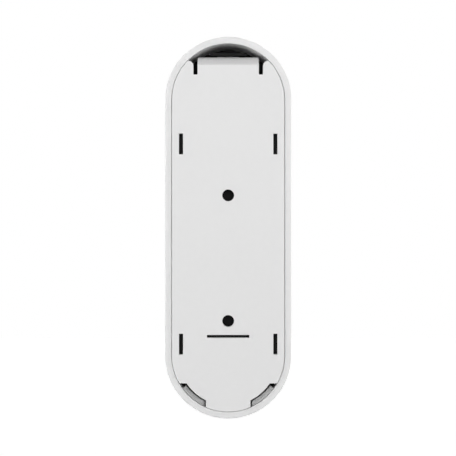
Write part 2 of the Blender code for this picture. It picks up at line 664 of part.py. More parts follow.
def make_battery(body, cell_look, metal, plastic, red, black):
    """Two cells side by side in a tray, with a nickel strip across each end and two leads."""
    cell_profile = [(CELL_RADIUS, CELL_BOTTOM_Z), (CELL_RADIUS, CELL_TOP_Z - CAP_TALL)]
    cell_profile += [(CAP_RADIUS, CELL_TOP_Z - CAP_TALL), (CAP_RADIUS, CELL_TOP_Z)]
    centre = (-CELL_X, CELL_Y)
    left = piece("battery_cell_left", turned(centre, cell_profile), cell_look, body, "Z")
    twin(left, "battery_cell_right", 2 * CELL_X)
    reach = CELL_X + CAP_RADIUS
    strip = rectangle(-reach, reach, CELL_Y - STRIP_WIDE / 2, CELL_Y + STRIP_WIDE / 2)
    top = CELL_TOP_Z + GAP
    piece("battery_strip_top", slab(strip, top, top + STRIP_THICK), metal, body, "Z")
    low = CELL_BOTTOM_Z - GAP
    piece("battery_strip_bottom", slab(strip, low - STRIP_THICK, low), metal, body, "Z")
    half = 2 * CELL_X - GAP
    floor = rectangle(-half, half, TRAY_BOTTOM_Z, TRAY_TOP_Z)
    tray = piece("battery_tray", slab(floor, TRAY_Y, TRAY_Y - TRAY_THICK), plastic, body)
    for name, low, high in (
        ("top_wall", TRAY_TOP_Z - TRAY_WALL, TRAY_TOP_Z),
        ("bottom_wall", TRAY_BOTTOM_Z, TRAY_BOTTOM_Z + TRAY_WALL),
    ):
        wall = rectangle(-half, half, low, high)
        join(tray, name, slab(wall, TRAY_Y - OVERLAP, TRAY_Y + TRAY_WALL_TALL))
    notch = rectangle(-2 * LEAD_X, 2 * LEAD_X, TRAY_TOP_Z - 2 * TRAY_WALL, TRAY_TOP_Z + OVERLAP)
    cut(tray, "lead_notch", slab(notch, CELL_Y - 2 * LEAD_X, TRAY_Y + TRAY_WALL_TALL + OVERLAP))
    for name, side, look in (("battery_lead_red", 1, red), ("battery_lead_black", -1, black)):
        make_lead(name, side * LEAD_X, body, look)


def make_lead(name, x, body, look):
    """An insulated wire from the top strip over the tray's wall to the main board."""
    start_y = CELL_Y
    end_y = MAIN_BOARD_Y + GAP + LEAD_RADIUS
    start_z = CELL_TOP_Z + 2 * GAP + STRIP_THICK
    reach = start_y - end_y
    points = []
    for i in range(LEAD_STEPS + 1):
        turn = math.radians(90.0 * i / LEAD_STEPS)
        y = start_y - reach * (1.0 - math.cos(turn))
        z = start_z + LEAD_RISE * math.sin(turn)
        points.append(Vector((x, y, z)))
    curve = bpy.data.curves.new(name, "CURVE")
    curve.dimensions = "3D"
    curve.bevel_depth = LEAD_RADIUS
    curve.bevel_resolution = 2
    curve.use_fill_caps = True
    spline = curve.splines.new("POLY")
    spline.points.add(len(points) - 1)
    origin = body.matrix_world.translation
    for point, place in zip(spline.points, points):
        point.co = (*(place - origin), 1.0)
    curve.materials.append(look)
    obj = bpy.data.objects.new(name, curve)
    bpy.context.scene.collection.objects.link(obj)
    obj.parent = body


def make_main_board(body, board, metal, chip):
    """The processor board between the battery and the front, and what stands on it."""
    low = BUTTON_Z + RING_FLANGE_R + 2 * GAP
    outline = rectangle(-MAIN_BOARD_HALF, MAIN_BOARD_HALF, low, MAIN_BOARD_TOP_Z)
    piece("main_board", slab(outline, MAIN_BOARD_Y, MAIN_BOARD_FRONT_Y), board, body)
    y = MAIN_BOARD_FRONT_Y - GAP
    shield_low = low + 2 * GAP
    shield_high = shield_low + SHIELD_LONG
    front = INNER_FRONT_Y + GAP
    can = rectangle(-SHIELD_HALF, SHIELD_HALF, shield_low, shield_high)
    shield = piece("shield_can", slab(can, y, front), metal, body)
    inside = SHIELD_HALF - SHIELD_WALL
    hollow = rectangle(-inside, inside, shield_low + SHIELD_WALL, shield_high - SHIELD_WALL)
    cut(shield, "inside", slab(hollow, y + OVERLAP, front + SHIELD_WALL))
    middle = (shield_low + shield_high) / 2
    body_of_chip = rectangle(-CHIP_HALF, CHIP_HALF, middle - CHIP_HALF, middle + CHIP_HALF)
    piece("processor", slab(body_of_chip, y, y - CHIP_THICK), chip, body)
    mic = rectangle(MIC_X - MIC_HALF, MIC_X + MIC_HALF, MIC_Z - MIC_HALF, MIC_Z + MIC_HALF)
    piece("microphone", slab(mic, y, y - MIC_TALL), metal, body)
    can_profile = [(MOTION_CAN_RADIUS, y), (MOTION_CAN_RADIUS, y - MOTION_CAN_TALL)]
    piece("motion_sensor", turned((0.0, MOTION_Z), can_profile, 24), metal, body)


def make_camera(body, board, plastic, glass, chip, clear):
    """Sensor board, holder, barrel with two lenses, and the infrared ring board in front."""
    centre = (0.0, CAMERA_Z)
    front = CAMERA_BOARD_Y - BOARD_THICK
    outline = rectangle(
        -CAMERA_BOARD_HALF, CAMERA_BOARD_HALF, CAMERA_Z - CAMERA_BOARD_BELOW, CAMERA_Z + CAMERA_BOARD_ABOVE
    )
    piece("camera_board", slab(outline, CAMERA_BOARD_Y, front), board, body)
    seat = front - GAP
    square = shifted(rectangle(-SENSOR_HALF, SENSOR_HALF, -SENSOR_HALF, SENSOR_HALF), *centre)
    piece("image_sensor", slab(square, seat, seat - SENSOR_THICK), chip, body)
    outer = shifted(rectangle(-HOLDER_HALF, HOLDER_HALF, -HOLDER_HALF, HOLDER_HALF), *centre)
    holder = piece("lens_holder", slab(outer, seat, seat - HOLDER_LONG), plastic, body)
    bore = circle(centre, BARREL_RADIUS + GAP, ROUND_STEPS)
    cut(holder, "bore", slab(bore, seat + OVERLAP, seat - HOLDER_LONG - OVERLAP))
    barrel_back = seat - SENSOR_THICK - 2 * GAP
    head_front = INNER_FRONT_Y - BARREL_HEAD_INTO_WALL
    head_back = head_front + BARREL_HEAD_LONG
    lens_seat = head_front + FRONT_LENS_DOME + GAP
    socket = FRONT_LENS_RADIUS + GAP
    tube = [(BARREL_RADIUS, barrel_back), (BARREL_RADIUS, head_back), (BARREL_HEAD_RADIUS, head_back)]
    tube += [(BARREL_HEAD_RADIUS, head_front), (socket, head_front), (socket, lens_seat)]
    tube += [(BARREL_BORE, lens_seat), (BARREL_BORE, barrel_back)]
    piece("lens_barrel", turned(centre, tube), plastic, body, ring=True)
    rear = BARREL_BORE - GAP
    back = barrel_back - GAP
    piece("rear_lens", turned(centre, [(rear, back), (rear, back - REAR_LENS_THICK)], 24), glass, body)
    flat = lens_seat - GAP
    dome = [(FRONT_LENS_RADIUS, flat), (FRONT_LENS_RADIUS, flat - GAP)]
    for i in range(1, 5):
        turn = math.radians(90.0 * i / 5)
        dome.append((FRONT_LENS_RADIUS * math.cos(turn), flat - GAP - FRONT_LENS_DOME * math.sin(turn)))
    piece("front_lens", turned(centre, dome), glass, body)
    window_y = FASCIA_FRONT_Y + WINDOW_SUNK
    pane = [(WINDOW_RADIUS, window_y + WINDOW_THICK), (WINDOW_RADIUS, window_y)]
    piece("camera_window", turned(centre, pane), clear, body)
    make_led_board(body, board, clear, chip)


def make_led_board(body, board, clear, chip):
    centre = (0.0, CAMERA_Z)
    front = LED_BOARD_FRONT_Y
    back = front + LED_BOARD_THICK
    hole = BARREL_HEAD_RADIUS + 2 * GAP
    ring = [(LED_BOARD_RADIUS, back), (LED_BOARD_RADIUS, front), (hole, front), (hole, back)]
    piece("infrared_board", turned(centre, ring), board, body, ring=True)
    y = front - GAP
    dome = [(LED_RADIUS, y), (LED_RADIUS, y - LED_BASE)]
    for turn in (30.0, 60.0):
        angle = math.radians(turn)
        dome.append((LED_RADIUS * math.cos(angle), y - LED_BASE - LED_DOME * math.sin(angle)))
    led = piece("infrared_led_left", turned((-LED_OFFSET, CAMERA_Z), dome, SMALL_STEPS), clear, body)
    twin(led, "infrared_led_right", 2 * LED_OFFSET)
    eye = shifted(rectangle(-EYE_HALF, EYE_HALF, -EYE_HALF, EYE_HALF), 0.0, CAMERA_Z - LED_OFFSET)
    piece("light_sensor", slab(eye, y, y - EYE_TALL), chip, body)


def make_fascia(body, look, lens_look):
    outline = capsule(FASCIA_R, END_Z, FASCIA_LOW_Z)
    fascia = piece("front_fascia", slab(outline, FASCIA_FRONT_Y, FASCIA_BACK_Y), look, body)
    through = (FASCIA_FRONT_Y - OVERLAP, FASCIA_BACK_Y + OVERLAP)
    cut(fascia, "camera_hole", slab(circle((0.0, CAMERA_Z), WINDOW_RADIUS + GAP, ROUND_STEPS), *through))
    cut(fascia, "motion_hole", slab(circle((0.0, MOTION_Z), MOTION_RADIUS + GAP, ROUND_STEPS), *through))
    cut(fascia, "mic_hole", slab(circle((MIC_X, MIC_Z), MIC_HOLE, 8), *through))
    centre = (0.0, MOTION_Z)
    back = INNER_FRONT_Y + GAP
    rear = back + MOTION_FLANGE_THICK
    side = MOTION_RADIUS - MOTION_WALL
    cap = [(MOTION_FLANGE, rear), (MOTION_FLANGE, back), (MOTION_RADIUS, back), (MOTION_RADIUS, FRONT_Y)]
    for turn in (30.0, 60.0, 80.0):
        angle = math.radians(turn)
        cap.append((MOTION_RADIUS * math.cos(angle), FRONT_Y - MOTION_PROUD * math.sin(angle)))
    lens = piece("motion_lens", turned(centre, cap), lens_look, body)
    cut(lens, "hollow", turned(centre, [(side, rear + OVERLAP), (side, FRONT_Y + MOTION_WALL)]))


def make_button(press, plunge, body, cap_look, ring_look, seal_look, board, plastic):
    """The call button, its light ring and seal, and the switch behind it."""
    centre = (0.0, BUTTON_Z)
    front = FRONT_Y - BUTTON_PROUD
    flange = BUTTON_RADIUS + BUTTON_FLANGE
    cap = [(STEM_RADIUS, STEM_Y), (STEM_RADIUS, BUTTON_BACK_Y), (flange, BUTTON_BACK_Y)]
    cap += [(flange, BUTTON_SEAL_Y), (BUTTON_RADIUS, BUTTON_SEAL_Y), (BUTTON_RADIUS, front + BUTTON_EDGE)]
    cap += [(BUTTON_RADIUS - BUTTON_EDGE, front), (BUTTON_RADIUS / 3, front + BUTTON_DISH)]
    piece("call_button", turned(centre, cap), cap_look, press)
    inner = BUTTON_RADIUS + GAP
    ring_back = RING_FLANGE_Y + RING_FLANGE_THICK
    ring = [(inner, ring_back), (RING_FLANGE_R, ring_back), (RING_FLANGE_R, RING_FLANGE_Y)]
    ring += [(RING_RADIUS, RING_FLANGE_Y), (RING_RADIUS, FRONT_Y), (inner, FRONT_Y)]
    piece("light_ring", turned(centre, ring), ring_look, body, ring=True)
    hole = flange + GAP
    seal_back = BUTTON_SEAL_Y + BUTTON_SEAL_THICK
    seal = [(hole, seal_back), (RING_FLANGE_R, seal_back)]
    seal += [(RING_FLANGE_R, BUTTON_SEAL_Y), (hole, BUTTON_SEAL_Y)]
    piece("button_seal", turned(centre, seal), seal_look, body, ring=True)
    plunger = [(PLUNGER_RADIUS, SWITCH_Y + PLUNGER_SUNK), (PLUNGER_RADIUS, STEM_Y + GAP)]
    piece("switch_plunger", turned(centre, plunger, SMALL_STEPS), plastic, plunge)
    case = shifted(rectangle(-SWITCH_HALF, SWITCH_HALF, -SWITCH_HALF, SWITCH_HALF), *centre)
    switch = piece("call_switch", slab(case, SWITCH_Y, SWITCH_Y + SWITCH_TALL), plastic, body)
    well = circle(centre, PLUNGER_RADIUS + GAP)
    cut(switch, "well", slab(well, SWITCH_Y - OVERLAP, SWITCH_Y + PLUNGER_WELL))
    half = BUTTON_BOARD_HALF
    outline = shifted(rectangle(-half, half, -half, half), *centre)
    back = BUTTON_BOARD_FRONT_Y + BOARD_THICK
    piece("button_board", slab(outline, BUTTON_BOARD_FRONT_Y, back), board, body)


def make_speaker(body, plastic, cone_look):
    low = SPEAKER_LOW_Z
    middle = (low + SPEAKER_TOP_Z) / 2
    front = SPEAKER_BACK_Y - SPEAKER_DEEP
    case = rectangle(-SPEAKER_HALF, SPEAKER_HALF, front, SPEAKER_BACK_Y)
    frame = piece("speaker_frame", slab(case, low, SPEAKER_TOP_Z), plastic, body, "Z")
    rim = SPEAKER_RIM
    well = rectangle(-SPEAKER_HALF + rim, SPEAKER_HALF - rim, front + rim, SPEAKER_BACK_Y - rim)
    cut(frame, "well", slab(well, low - OVERLAP, middle), "Z")
    inset = rim + GAP
    cone = rectangle(-SPEAKER_HALF + inset, SPEAKER_HALF - inset, front + inset, SPEAKER_BACK_Y - inset)
    piece("speaker_cone", slab(cone, low + GAP, middle - GAP), cone_look, body, "Z")


def make_port(body, board, metal):
    """The charging socket, its board and the opening's sizes."""
    top = PORT_MOUTH_Z + PORT_LONG
    deep = PORT_HALF_DEEP
    mouth = rectangle(-PORT_HALF, PORT_HALF, PORT_Y - deep, PORT_Y + deep)
    socket = piece("charging_socket", slab(mouth, PORT_MOUTH_Z, top), metal, body, "Z")
    inner = PORT_WALL
    hollow = rectangle(-PORT_HALF + inner, PORT_HALF - inner, PORT_Y - deep + inner, PORT_Y + deep - inner)
    cut(socket, "inside", slab(hollow, PORT_MOUTH_Z - OVERLAP, top - PORT_BACK_THICK), "Z")
    tongue = rectangle(-TONGUE_HALF, TONGUE_HALF, PORT_Y - TONGUE_THICK / 2, PORT_Y + TONGUE_THICK / 2)
    join(socket, "tongue", slab(tongue, PORT_MOUTH_Z + TONGUE_SUNK, top - PORT_BACK_THICK / 2), "Z")
    board_back = PORT_Y - deep - GAP
    low = PORT_BOARD_Z
    outline = rectangle(-PORT_BOARD_HALF, PORT_BOARD_HALF, low, low + PORT_BOARD_LONG)
    piece("charging_board", slab(outline, board_back, board_back - PORT_BOARD_THICK), board, body)


def make_flap(body, look):
    """The soft cover of the charging port, with the nub that fills the opening."""
    turn = math.degrees(math.asin(FLAP_HALF / END_R))
    outline = band(FLAP_OUTER_R, FLAP_INNER_R, (0.0, -END_Z), -90.0 - turn, -90.0 + turn, 8)
    back = PORT_Y + FLAP_HALF_DEEP
    flap = piece("charging_flap", slab(outline, FLAP_FRONT_Y, back), look, body)
    deep = FLAP_NUB_HALF_DEEP
    nub = rectangle(-FLAP_NUB_HALF, FLAP_NUB_HALF, PORT_Y - deep, PORT_Y + deep)
    low = -END_Z - FLAP_INNER_R
    join(flap, "nub", slab(nub, low - OVERLAP, low + FLAP_NUB_TALL), "Z")


def make_reset(press, body, look, plastic):
    """The reset cap in the rear cover, and its switch on the back of the camera board."""
    centre = (RESET_X, RESET_Z)
    flange = RESET_RADIUS + RESET_FLANGE
    flange_y = COVER_FRONT_Y - GAP
    switch_y = CAMERA_BOARD_Y + GAP + RESET_SWITCH_TALL
    end = switch_y + RESET_TRAVEL + GAP
    cap = [(RESET_RADIUS, COVER_Y + RESET_PROUD), (RESET_RADIUS, flange_y), (flange, flange_y)]
    cap += [(flange, flange_y - RESET_FLANGE_THICK), (RESET_RADIUS / 2, flange_y - RESET_FLANGE_THICK)]
    cap.append((RESET_RADIUS / 2, end))
    piece("reset_button", turned(centre, cap, SMALL_STEPS), look, press)
    half = RESET_SWITCH_HALF
    case = shifted(rectangle(-half, half, -half, half), *centre)
    piece("reset_switch", slab(case, CAMERA_BOARD_Y + GAP, switch_y), plastic, body)


def make_antenna(body, look):
    high = INNER_R - GAP
    middle = CELL_Y
    strip = rectangle(high - ANTENNA_THICK, high, middle - ANTENNA_WIDE / 2, middle + ANTENNA_WIDE / 2)
    piece("antenna", slab(strip, -ANTENNA_LONG / 2, ANTENNA_LONG / 2), look, body, "Z")


def main():
    clear_scene()
    white = finish("white_plastic", (0.83, 0.83, 0.82), 0.45)
    plate_white = finish("plate_plastic", (0.80, 0.80, 0.79), 0.5)
    black = finish("black_plastic", (0.02, 0.02, 0.02), 0.55)
    gloss = finish("gloss_black", (0.01, 0.01, 0.012), 0.12)
    rubber = finish("grey_rubber", (0.62, 0.62, 0.61), 0.7)
    seal = finish("seal_silicone", (0.12, 0.12, 0.13), 0.7)
    board = finish("board_green", (0.02, 0.14, 0.07), 0.5)
    metal = finish("nickel", (0.62, 0.6, 0.56), 0.3, 1.0)
    screw = finish("screw_steel", (0.35, 0.35, 0.36), 0.35, 1.0)
    cell = finish("cell_sleeve", (0.05, 0.17, 0.42), 0.4)
    chip = finish("chip_black", (0.03, 0.03, 0.035), 0.5)
    glass = finish("lens_glass", (0.04, 0.03, 0.07), 0.03)
    clear = finish("clear_window", (0.05, 0.05, 0.06), 0.05)
    milky = finish("milky_plastic", (0.78, 0.79, 0.8), 0.4)
    copper = finish("antenna_copper", (0.55, 0.3, 0.16), 0.4, 1.0)
    red = finish("lead_red", (0.5, 0.03, 0.02), 0.5)
    wire_black = finish("lead_black", (0.02, 0.02, 0.02), 0.5)

    wall = pivot("wall_plate_body", (0.0, 0.0, 0.0))
    body = pivot("doorbell_body", (0.0, 0.0, HINGE_Z))
    latch = pivot("latch_body", (0.0, LATCH_AXIS_Y, LATCH_AXIS_Z))
    press = pivot("button_body", (0.0, FRONT_Y, BUTTON_Z))
    plunge = pivot("plunger_body", (0.0, SWITCH_Y, BUTTON_Z))
    reset = pivot("reset_body", (RESET_X, COVER_Y, RESET_Z))
    flap = pivot("flap_body", (0.0, FLAP_FRONT_Y, -END_Z - FLAP_OUTER_R))

    make_wall_plate(wall, plate_white)
    make_shell(body, white)
    make_rear_cover(body, black)
    make_latch(latch, black)
    make_seals(body, seal)
    make_cover_screws(body, screw)
    make_battery(body, cell, metal, black, red, wire_black)
    make_main_board(body, board, metal, chip)
    make_camera(body, board, black, glass, chip, clear)
    make_fascia(body, gloss, milky)
    make_button(press, plunge, body, gloss, milky, seal, board, black)
    make_speaker(body, black, chip)
    make_port(body, board, metal)
    make_flap(flap, rubber)
    make_reset(reset, body, seal, black)
    make_antenna(body, copper)


main()
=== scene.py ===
"""The looks of the video doorbell on its wall plate: fine surfaces, finishes and studio light."""
import json
import math

import bmesh
import bpy
from mathutils import Matrix, Vector


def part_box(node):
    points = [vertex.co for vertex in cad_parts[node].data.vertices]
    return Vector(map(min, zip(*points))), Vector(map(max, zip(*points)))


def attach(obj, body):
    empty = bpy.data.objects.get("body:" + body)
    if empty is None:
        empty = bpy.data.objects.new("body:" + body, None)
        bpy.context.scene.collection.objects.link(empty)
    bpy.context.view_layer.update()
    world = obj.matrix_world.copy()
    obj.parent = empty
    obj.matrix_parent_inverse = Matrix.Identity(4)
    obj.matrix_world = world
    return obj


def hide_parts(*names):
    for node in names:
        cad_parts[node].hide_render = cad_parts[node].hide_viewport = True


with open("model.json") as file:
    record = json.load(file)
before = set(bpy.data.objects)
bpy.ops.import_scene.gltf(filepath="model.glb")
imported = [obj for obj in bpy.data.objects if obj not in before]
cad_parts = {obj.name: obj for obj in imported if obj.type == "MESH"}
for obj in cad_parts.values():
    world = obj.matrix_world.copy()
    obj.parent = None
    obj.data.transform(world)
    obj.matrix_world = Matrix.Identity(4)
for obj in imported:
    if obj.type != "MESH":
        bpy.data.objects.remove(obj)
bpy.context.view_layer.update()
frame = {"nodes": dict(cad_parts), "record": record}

MM = 0.001

# Read from the frame
SHELL_LOW, SHELL_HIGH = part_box("outer_shell")
PLATE_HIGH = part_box("wall_plate")[1]
COVER_LOW, COVER_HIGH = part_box("rear_cover")
FASCIA_LOW, FASCIA_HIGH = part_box("front_fascia")
WINDOW_LOW, WINDOW_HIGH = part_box("camera_window")
BARREL_LOW, BARREL_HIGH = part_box("lens_barrel")
LENS_LOW, LENS_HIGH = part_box("front_lens")
MOTION_LOW, MOTION_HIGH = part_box("motion_lens")
BUTTON_LOW, BUTTON_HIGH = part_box("call_button")
RING_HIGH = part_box("light_ring")[1]
FLAP_LOW, FLAP_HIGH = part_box("charging_flap")
SOCKET_LOW, SOCKET_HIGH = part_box("charging_socket")
SPEAKER_LOW, SPEAKER_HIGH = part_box("speaker_frame")
MIC_LOW, MIC_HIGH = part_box("microphone")

END_R = SHELL_HIGH.x
END_Z = SHELL_HIGH.z - END_R
RIM_Y = SHELL_HIGH.y
FRONT_Y = SHELL_LOW.y
CAMERA_Z = (WINDOW_LOW.z + WINDOW_HIGH.z) / 2
MOTION_Z = (MOTION_LOW.z + MOTION_HIGH.z) / 2
BUTTON_Z = (BUTTON_LOW.z + BUTTON_HIGH.z) / 2
RING_FLANGE_R = RING_HIGH.x
WINDOW_R = WINDOW_HIGH.x
FASCIA_R = FASCIA_HIGH.x

# Sizes that the solids have too
WALL = 2.4 * MM
FRONT_WALL = 2.8 * MM
INNER_R = END_R - WALL
INNER_FRONT_Y = FRONT_Y + FRONT_WALL
GAP = 0.3 * MM
MOTION_R = 6.5 * MM
BUTTON_R = 10.0 * MM
RING_OUTER_R = RING_FLANGE_R - 1.5 * MM
SCREW_COUNT = 4

# How far a cutter or a joined piece runs past a face
PAST = 0.5 * MM

# Fine shapes of the shell
RIM_ROUND = 0.2 * MM
RIM_INNER_ROUND = 0.1 * MM
EDGE_ROUND = 5.0 * MM
MOUTH_ROUND = 0.25 * MM
PAD_Y = (-3.9 * MM, -5.3 * MM)
PAD_EDGE = 0.15 * MM
PAD_SLOPE = 1.5 * MM
PAD_TOP_ANGLE = 36.5

# Fine shapes of the wall plate
PLATE_R = PLATE_HIGH.x + 0.12 * MM
PLATE_THICK = 2.2 * MM
PLATE_EDGE = 0.10 * MM
TAB_TOP = 64.55 * MM
TAB_HALF = 11.4 * MM
RELIEF_WIDE = 1.55 * MM
RELIEF_DEEP = 7.6 * MM
RELIEF_ROUND = 0.25 * MM
SHOULDER_HALF = 15.0 * MM
SHOULDER_ROUND = 1.9 * MM
BEND_START = 60.6 * MM
BEND_TILT = 48.0
BEND_EASE = 1.3
BEND_STEPS = 24
SHELF_REACH = 10.0 * MM
LIP_THICK = 1.2 * MM
LIP_HALF = 4.2 * MM
LIP_TOP = 65.4 * MM
NOTCH_FLOOR = 2.3 * MM
NOTCH_TOP_DROP = 10.4 * MM
NOTCH_SIDE_X = 8.3 * MM
PAD_CLEAR = 1.0 * MM
PAD_SIDE_CLEAR = 0.6 * MM
SCREW_HOLE_R = 2.2 * MM
SCREW_HOLES_Z = (12.05 * MM, -34.7 * MM)
FIN_SLOT_X = 17.55 * MM
FIN_SLOT = (0.75 * MM, 3.87 * MM)
FIN_SLOTS_Z = (31.15 * MM, -43.3 * MM)
LATCH_SLOT = (7.85 * MM, 0.52 * MM)
LATCH_SLOT_Z = -40.4 * MM
SLOT_ROUND = 0.15 * MM

# Fine shapes of the front
FASCIA_EDGE = 0.22 * MM
MIC_HOLE_R = 0.6 * MM
GLASS_EDGE = 0.2 * MM
DOME_STEPS = 24
BARREL_TUBE_R = 6.0 * MM
BARREL_BORE_R = 4.6 * MM
BARREL_HEAD_TALL = 3.4 * MM
BAFFLES = 4
BAFFLE_PITCH = 0.22 * MM
BAFFLE_STEP = 0.18 * MM
FRESNEL_DEEP = 0.10 * MM
FRESNEL_EVERY = 4
FRESNEL_STEPS = 48
MOTION_WALL = 0.8 * MM
BUTTON_EDGE = 0.8 * MM
BUTTON_DISH = 0.35 * MM
BUTTON_STEM_R = 2.2 * MM
DISH_STEPS = 16
RING_EDGE = 0.25 * MM
FLANGE_THICK = 0.8 * MM

# Fine shapes of the underside
SPEAKER_SLOTS = 5
SPEAKER_PITCH = 2.2 * MM
SPEAKER_SLOT = (5.0 * MM, 0.55 * MM, 0.54 * MM)
PORT_SUNK = 1.6 * MM
PORT_ROUND = 1.6 * MM
FLAP_THICK = 1.15 * MM
FLAP_EDGE = 0.3 * MM
FLAP_NUB = (4.0 * MM, 1.1 * MM)
FLAP_NUB_ROUND = 0.7 * MM
SOCKET_WALL = 0.35 * MM
SOCKET_TONGUE = (3.3 * MM, 0.35 * MM, 0.2 * MM)

# Fine shapes of the inner back
COVER_BACK_Y = -5.6 * MM
COVER_THICK = 2.0 * MM
COVER_EDGE = 0.2 * MM
POCKET_Z = 57.0 * MM
PARTITION = 1.6 * MM
POCKET_FLOOR = 1.3 * MM
HOOK_BAR_Z = 64.85 * MM
HOOK_BAR_TALL = 1.0 * MM
HOOK_BAR_DEEP = 3.0 * MM
HOOK_BAR_HALF = 6.9 * MM
SMALL_ROUND = 0.2 * MM
SCREW_CLEAR_R = 1.3 * MM
RESET_CLEAR_R = 2.3 * MM
FIN = (0.35 * MM, 3.45 * MM)
FIN_ROUND = 0.15 * MM
LATCH_THICK = 0.8 * MM
LATCH_EDGE = 0.12 * MM
LATCH_RIDGES = 4
SCREW_HEAD_TALL = 1.2 * MM
THREAD_R = 1.0 * MM
THREAD_ROOT_R = 0.82 * MM
THREAD_TURNS = 9
CROSS = (1.15 * MM, 0.28 * MM)
CROSS_TAPER = 0.55
CROSS_DEEP = 0.95 * MM
RESET_R = 2.0 * MM
RESET_FLANGE = 0.7 * MM

# Fine shapes of the battery cells
CELL_NECK = 3.2 * MM
CELL_FOOT_ROUND = 0.9 * MM
CELL_CRIMP = 0.7 * MM

# Smoothness
END_STEPS = 96
ROUND_STEPS = 96
FILLET_STEPS = 8
SAME = 1e-7

AXES = {"X": (1, 2, 0), "Y": (0, 2, 1), "Z": (0, 1, 2)}


# ---------------------------------------------------------------- camera, light and floor

CAMERA_AWAY = 0.400
VIEW_TALL = 0.1695
VIEW_SHIFT = (-0.0004, -0.0006)
SENSOR = 36.0
FLOOR_Z = -0.45
FLOOR_HALF = 4.0
FLOOR_TONE = (0.42, 0.42, 0.42, 1.0)
FLOOR_GLOW = 0.8
SKY_LIGHT = 2.03
SKY_FALL = 6.0
SKY_SIDE = 0.07
SKY_FLANK = 0.8
BEHIND_LIGHT = 3.68
BEHIND_FALL = 14.0
BEHIND_AIM = (0.0, 0.993, -0.118)


def make_camera_view():
    """Straight on from behind, level with the middle of the plate."""
    data = bpy.data.cameras.new("view_camera")
    data.sensor_width = SENSOR
    data.lens = SENSOR * CAMERA_AWAY / VIEW_TALL
    data.shift_x, data.shift_y = VIEW_SHIFT
    data.clip_start = 0.01
    camera = bpy.data.objects.new("view_camera", data)
    camera.location = (0.0, CAMERA_AWAY, 0.0)
    camera.rotation_euler = (math.radians(90.0), 0.0, math.radians(180.0))
    bpy.context.scene.collection.objects.link(camera)
    bpy.context.scene.camera = camera


def make_sky():
    """Pale studio walls all round at the doorbell's height, with little light from above or below."""
    world = bpy.data.worlds.new("studio")
    world.use_nodes = True
    tree = world.node_tree
    background = tree.nodes["Background"]
    place = add(tree, "ShaderNodeTexCoord").outputs["Generated"]
    parts = add(tree, "ShaderNodeSeparateXYZ", Vector=place)
    level = math_node(tree, "MULTIPLY", parts.outputs["Z"], parts.outputs["Z"])
    level = math_node(tree, "SUBTRACT", 1.0, level)
    level = math_node(tree, "POWER", level, SKY_FALL)
    side = math_node(tree, "MULTIPLY", parts.outputs["X"], SKY_SIDE)
    side = math_node(tree, "ADD", side, 1.0)
    flank = math_node(tree, "MULTIPLY", parts.outputs["X"], parts.outputs["X"])
    flank = math_node(tree, "MULTIPLY", flank, SKY_FLANK)
    level = math_node(tree, "MULTIPLY", level, math_node(tree, "ADD", side, flank))
    level = math_node(tree, "MULTIPLY", level, SKY_LIGHT)
    behind = add(tree, "ShaderNodeVectorMath", [("operation", "DOT_PRODUCT")])
    tree.links.new(place, behind.inputs[0])
    behind.inputs[1].default_value = BEHIND_AIM
    behind = math_node(tree, "MAXIMUM", behind.outputs["Value"], 0.0)
    behind = math_node(tree, "POWER", behind, BEHIND_FALL)
    level = math_node(tree, "ADD", level, math_node(tree, "MULTIPLY", behind, BEHIND_LIGHT))
    seen = add(tree, "ShaderNodeLightPath").outputs["Is Camera Ray"]
    level = math_node(tree, "MULTIPLY", level, math_node(tree, "SUBTRACT", 1.0, seen))
    level = math_node(tree, "ADD", level, seen)
    tree.links.new(level, background.inputs["Strength"])
    background.inputs["Color"].default_value = (1.0, 1.0, 1.0, 1.0)
    bpy.context.scene.world = world
    bpy.context.scene.view_settings.view_transform = "Standard"


def make_floor():
    """A plain pale floor, well below the doorbell."""
    build = bmesh.new()
    bmesh.ops.create_grid(build, x_segments=8, y_segments=8, size=FLOOR_HALF)
    bmesh.ops.translate(build, verts=build.verts, vec=(0.0, 0.0, FLOOR_Z))
    mesh = bpy.data.meshes.new("studio_floor")
    build.to_mesh(mesh)
    build.free()
    floor = linked("studio_floor", mesh)
    look, tree, shader = started("pale_floor")
    shader.inputs["Base Color"].default_value = FLOOR_TONE
    shader.inputs["Roughness"].default_value = 0.9
    shader.inputs["Emission Color"].default_value = (1.0, 1.0, 1.0, 1.0)
    seen = add(tree, "ShaderNodeLightPath").outputs["Is Camera Ray"]
    glow = math_node(tree, "MULTIPLY", seen, FLOOR_GLOW)
    tree.links.new(glow, shader.inputs["Emission Strength"])
    mesh.materials.append(look)


# ---------------------------------------------------------------- shaders

RUBBED_WIDE = 0.25 * MM
DUST_TONE = (0.35, 0.34, 0.32)
BOARD_MASK = (0.012, 0.10, 0.05)
BOARD_MASK_DARK = (0.01, 0.08, 0.045)
BOARD_TRACK = (0.03, 0.19, 0.09)


def add(tree, kind, settings=(), **inputs):
    """A node with its settings and its inputs, each a value or another node's output."""
    made = tree.nodes.new(kind)
    for name, value in settings:
        setattr(made, name, value)
    for name, value in inputs.items():
        give(tree, made.inputs[name.replace("_", " ")], value)
    return made


def give(tree, socket, value):
    """Sets a socket to a value, or links it to another node's output."""
    if isinstance(value, bpy.types.NodeSocket):
        tree.links.new(value, socket)
    else:
        socket.default_value = value


def math_node(tree, operation, first, second):
    """The output of a math node on two values or outputs."""
    made = add(tree, "ShaderNodeMath", [("operation", operation)])
    give(tree, made.inputs[0], first)
    give(tree, made.inputs[1], second)
    return made.outputs[0]


def new_group(name, inputs, outputs):
    """An empty shader group and its input and output nodes. Inputs and outputs are (name, type)."""
    tree = bpy.data.node_groups.new(name, "ShaderNodeTree")
    for label, kind in inputs:
        tree.interface.new_socket(name=label, in_out="INPUT", socket_type=kind)
    for label, kind in outputs:
        tree.interface.new_socket(name=label, in_out="OUTPUT", socket_type=kind)
    return tree, tree.nodes.new("NodeGroupInput"), tree.nodes.new("NodeGroupOutput")


